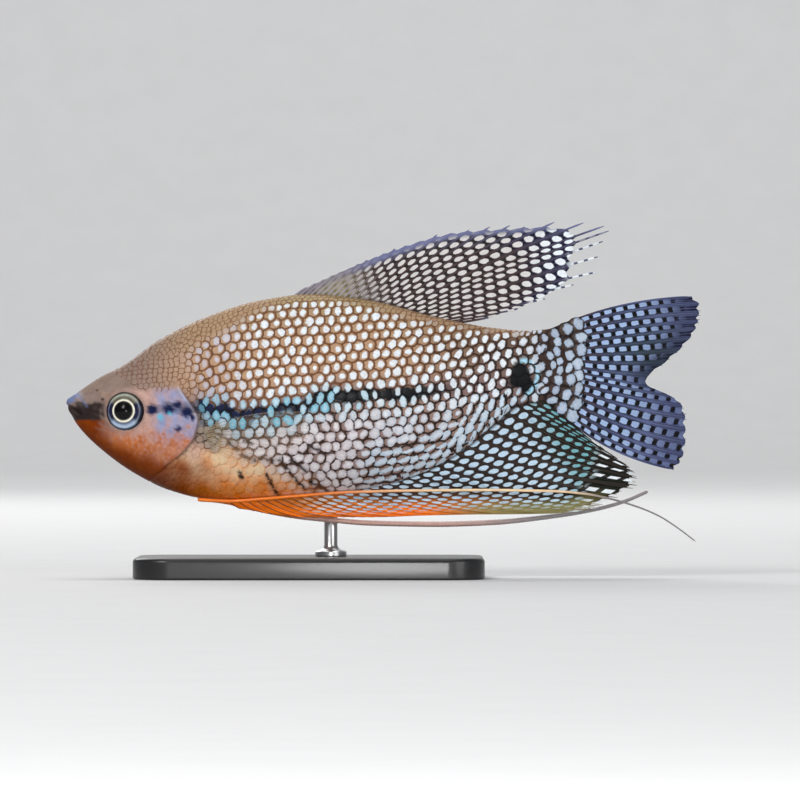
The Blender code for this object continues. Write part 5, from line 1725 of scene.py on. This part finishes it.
class GOURAMI_OT_middle_fins(bpy.types.Operator):
    """Make the dorsal, anal and tail fins."""
    bl_idname = "gourami.middle_fins"
    bl_label = "Dorsal, anal and tail fins"

    def execute(self, context):
        c, sizes = settings()
        thick = sizes.membrane / MM
        dorsal = Fan(back_base, DORSAL_FAN, wave(42, 11, 0.7))
        build_fin("dorsal_rays", dorsal, sizes.dorsal_rays, ("dorsal_fin",),
                  fin_material("dorsal membrane", 2.35, False, 2.0), paint_dorsal, c,
                  sizes.dorsal_rays - 1, 0.24, thick, notch=0.03, split=False, seed=21)
        anal = Fan(belly_base, ANAL_FAN, lambda x, z, share: 0 * share)
        build_fin("anal_rays", anal, sizes.anal_rays, ("anal_fin",),
                  fin_material("anal membrane", 1.95, False, 3.0, 2.0), paint_anal, c,
                  ANAL_SPOT_ROWS, 0.17, thick, notch=0.03, between=5, seed=22)
        nodes = ("caudal_fin_upper_lobe", "caudal_fin_lower_lobe")
        build_fin("tail_rays", tail_shape(), 2 * sizes.lobe_rays, nodes,
                  fin_material("tail membrane", 2.25, True, 2.0), paint_tail, c,
                  2 * sizes.lobe_rays - 1, 0.2, thick, notch=0.02, seed=23)
        return {"FINISHED"}


class GOURAMI_OT_pectoral_fins(bpy.types.Operator):
    """Make the two clear pectoral fins."""
    bl_idname = "gourami.pectoral_fins"
    bl_label = "Pectoral fins"

    def execute(self, context):
        c, sizes = settings()
        material = fin_material("clear membrane", 2.0, False, 2.0)
        for word, side in SIDES:
            fan = Fan(straight_base, PECTORAL_FAN, flare(side))
            build_fin(f"pectoral_rays_{word}", fan, sizes.pectoral_rays, (f"pectoral_fin_{word}",),
                      material, paint_pectoral, c, sizes.pectoral_rays - 1, 0.1,
                      sizes.membrane / MM * 0.6, pleat=0.03, rows=36, seed=24)
        return {"FINISHED"}


class GOURAMI_OT_pelvic_fins(bpy.types.Operator):
    """Make the two thread-like pelvic fins."""
    bl_idname = "gourami.pelvic_fins"
    bl_label = "Pelvic fins"

    def execute(self, context):
        c = settings()[0]
        build_thread("left", LEFT_PELVIC, LEFT_PELVIC_RADII, -1, "pelvic_fin_left",
                     ((0, c.thread_orange, 0), (44, c.belly_tan, 30), (92, c.thread_grey, 12)))
        build_thread("right", RIGHT_PELVIC, RIGHT_PELVIC_RADII, 1, "pelvic_fin_right",
                     ((0, c.thread_orange, 0), (34, c.cheek_mauve, 14), (70, c.thread_grey, 20)))
        return {"FINISHED"}


class GOURAMI_OT_stand(bpy.types.Operator):
    """Make the base and rod that hold the fish."""
    bl_idname = "gourami.stand"
    bl_label = "Stand"

    def execute(self, context):
        build_stand()
        return {"FINISHED"}


class GOURAMI_OT_stage(bpy.types.Operator):
    """Set the floor, the lights and the camera."""
    bl_idname = "gourami.stage"
    bl_label = "Stage"

    def execute(self, context):
        build_stage(*settings())
        return {"FINISHED"}


OPERATORS = (GOURAMI_OT_skin, GOURAMI_OT_scales, GOURAMI_OT_eyes, GOURAMI_OT_middle_fins,
             GOURAMI_OT_pectoral_fins, GOURAMI_OT_pelvic_fins, GOURAMI_OT_stand, GOURAMI_OT_stage)


class GOURAMI_PT_panel(bpy.types.Panel):
    bl_label = "Pearl gourami"
    bl_space_type = "VIEW_3D"
    bl_region_type = "UI"
    bl_category = "Pearl gourami"

    def draw(self, context):
        for operator in OPERATORS:
            self.layout.operator(operator.bl_idname)
        for group in (context.scene.gourami_sizes, context.scene.gourami_colours):
            box = self.layout.box()
            for name in group.__annotations__:
                box.prop(group, name)


CLASSES = (GouramiColours, GouramiSizes, *OPERATORS, GOURAMI_PT_panel)


def register():
    for cls in CLASSES:
        bpy.utils.register_class(cls)
    bpy.types.Scene.gourami_colours = bpy.props.PointerProperty(type=GouramiColours)
    bpy.types.Scene.gourami_sizes = bpy.props.PointerProperty(type=GouramiSizes)


def unregister():
    del bpy.types.Scene.gourami_sizes
    del bpy.types.Scene.gourami_colours
    for cls in reversed(CLASSES):
        bpy.utils.unregister_class(cls)


def main():
    register()
    build_mottling()
    build_ray_spots()
    for operator in OPERATORS:
        group, name = operator.bl_idname.split(".")
        getattr(getattr(bpy.ops, group), name)()
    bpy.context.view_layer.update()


if __name__ == "__main__":
    main()
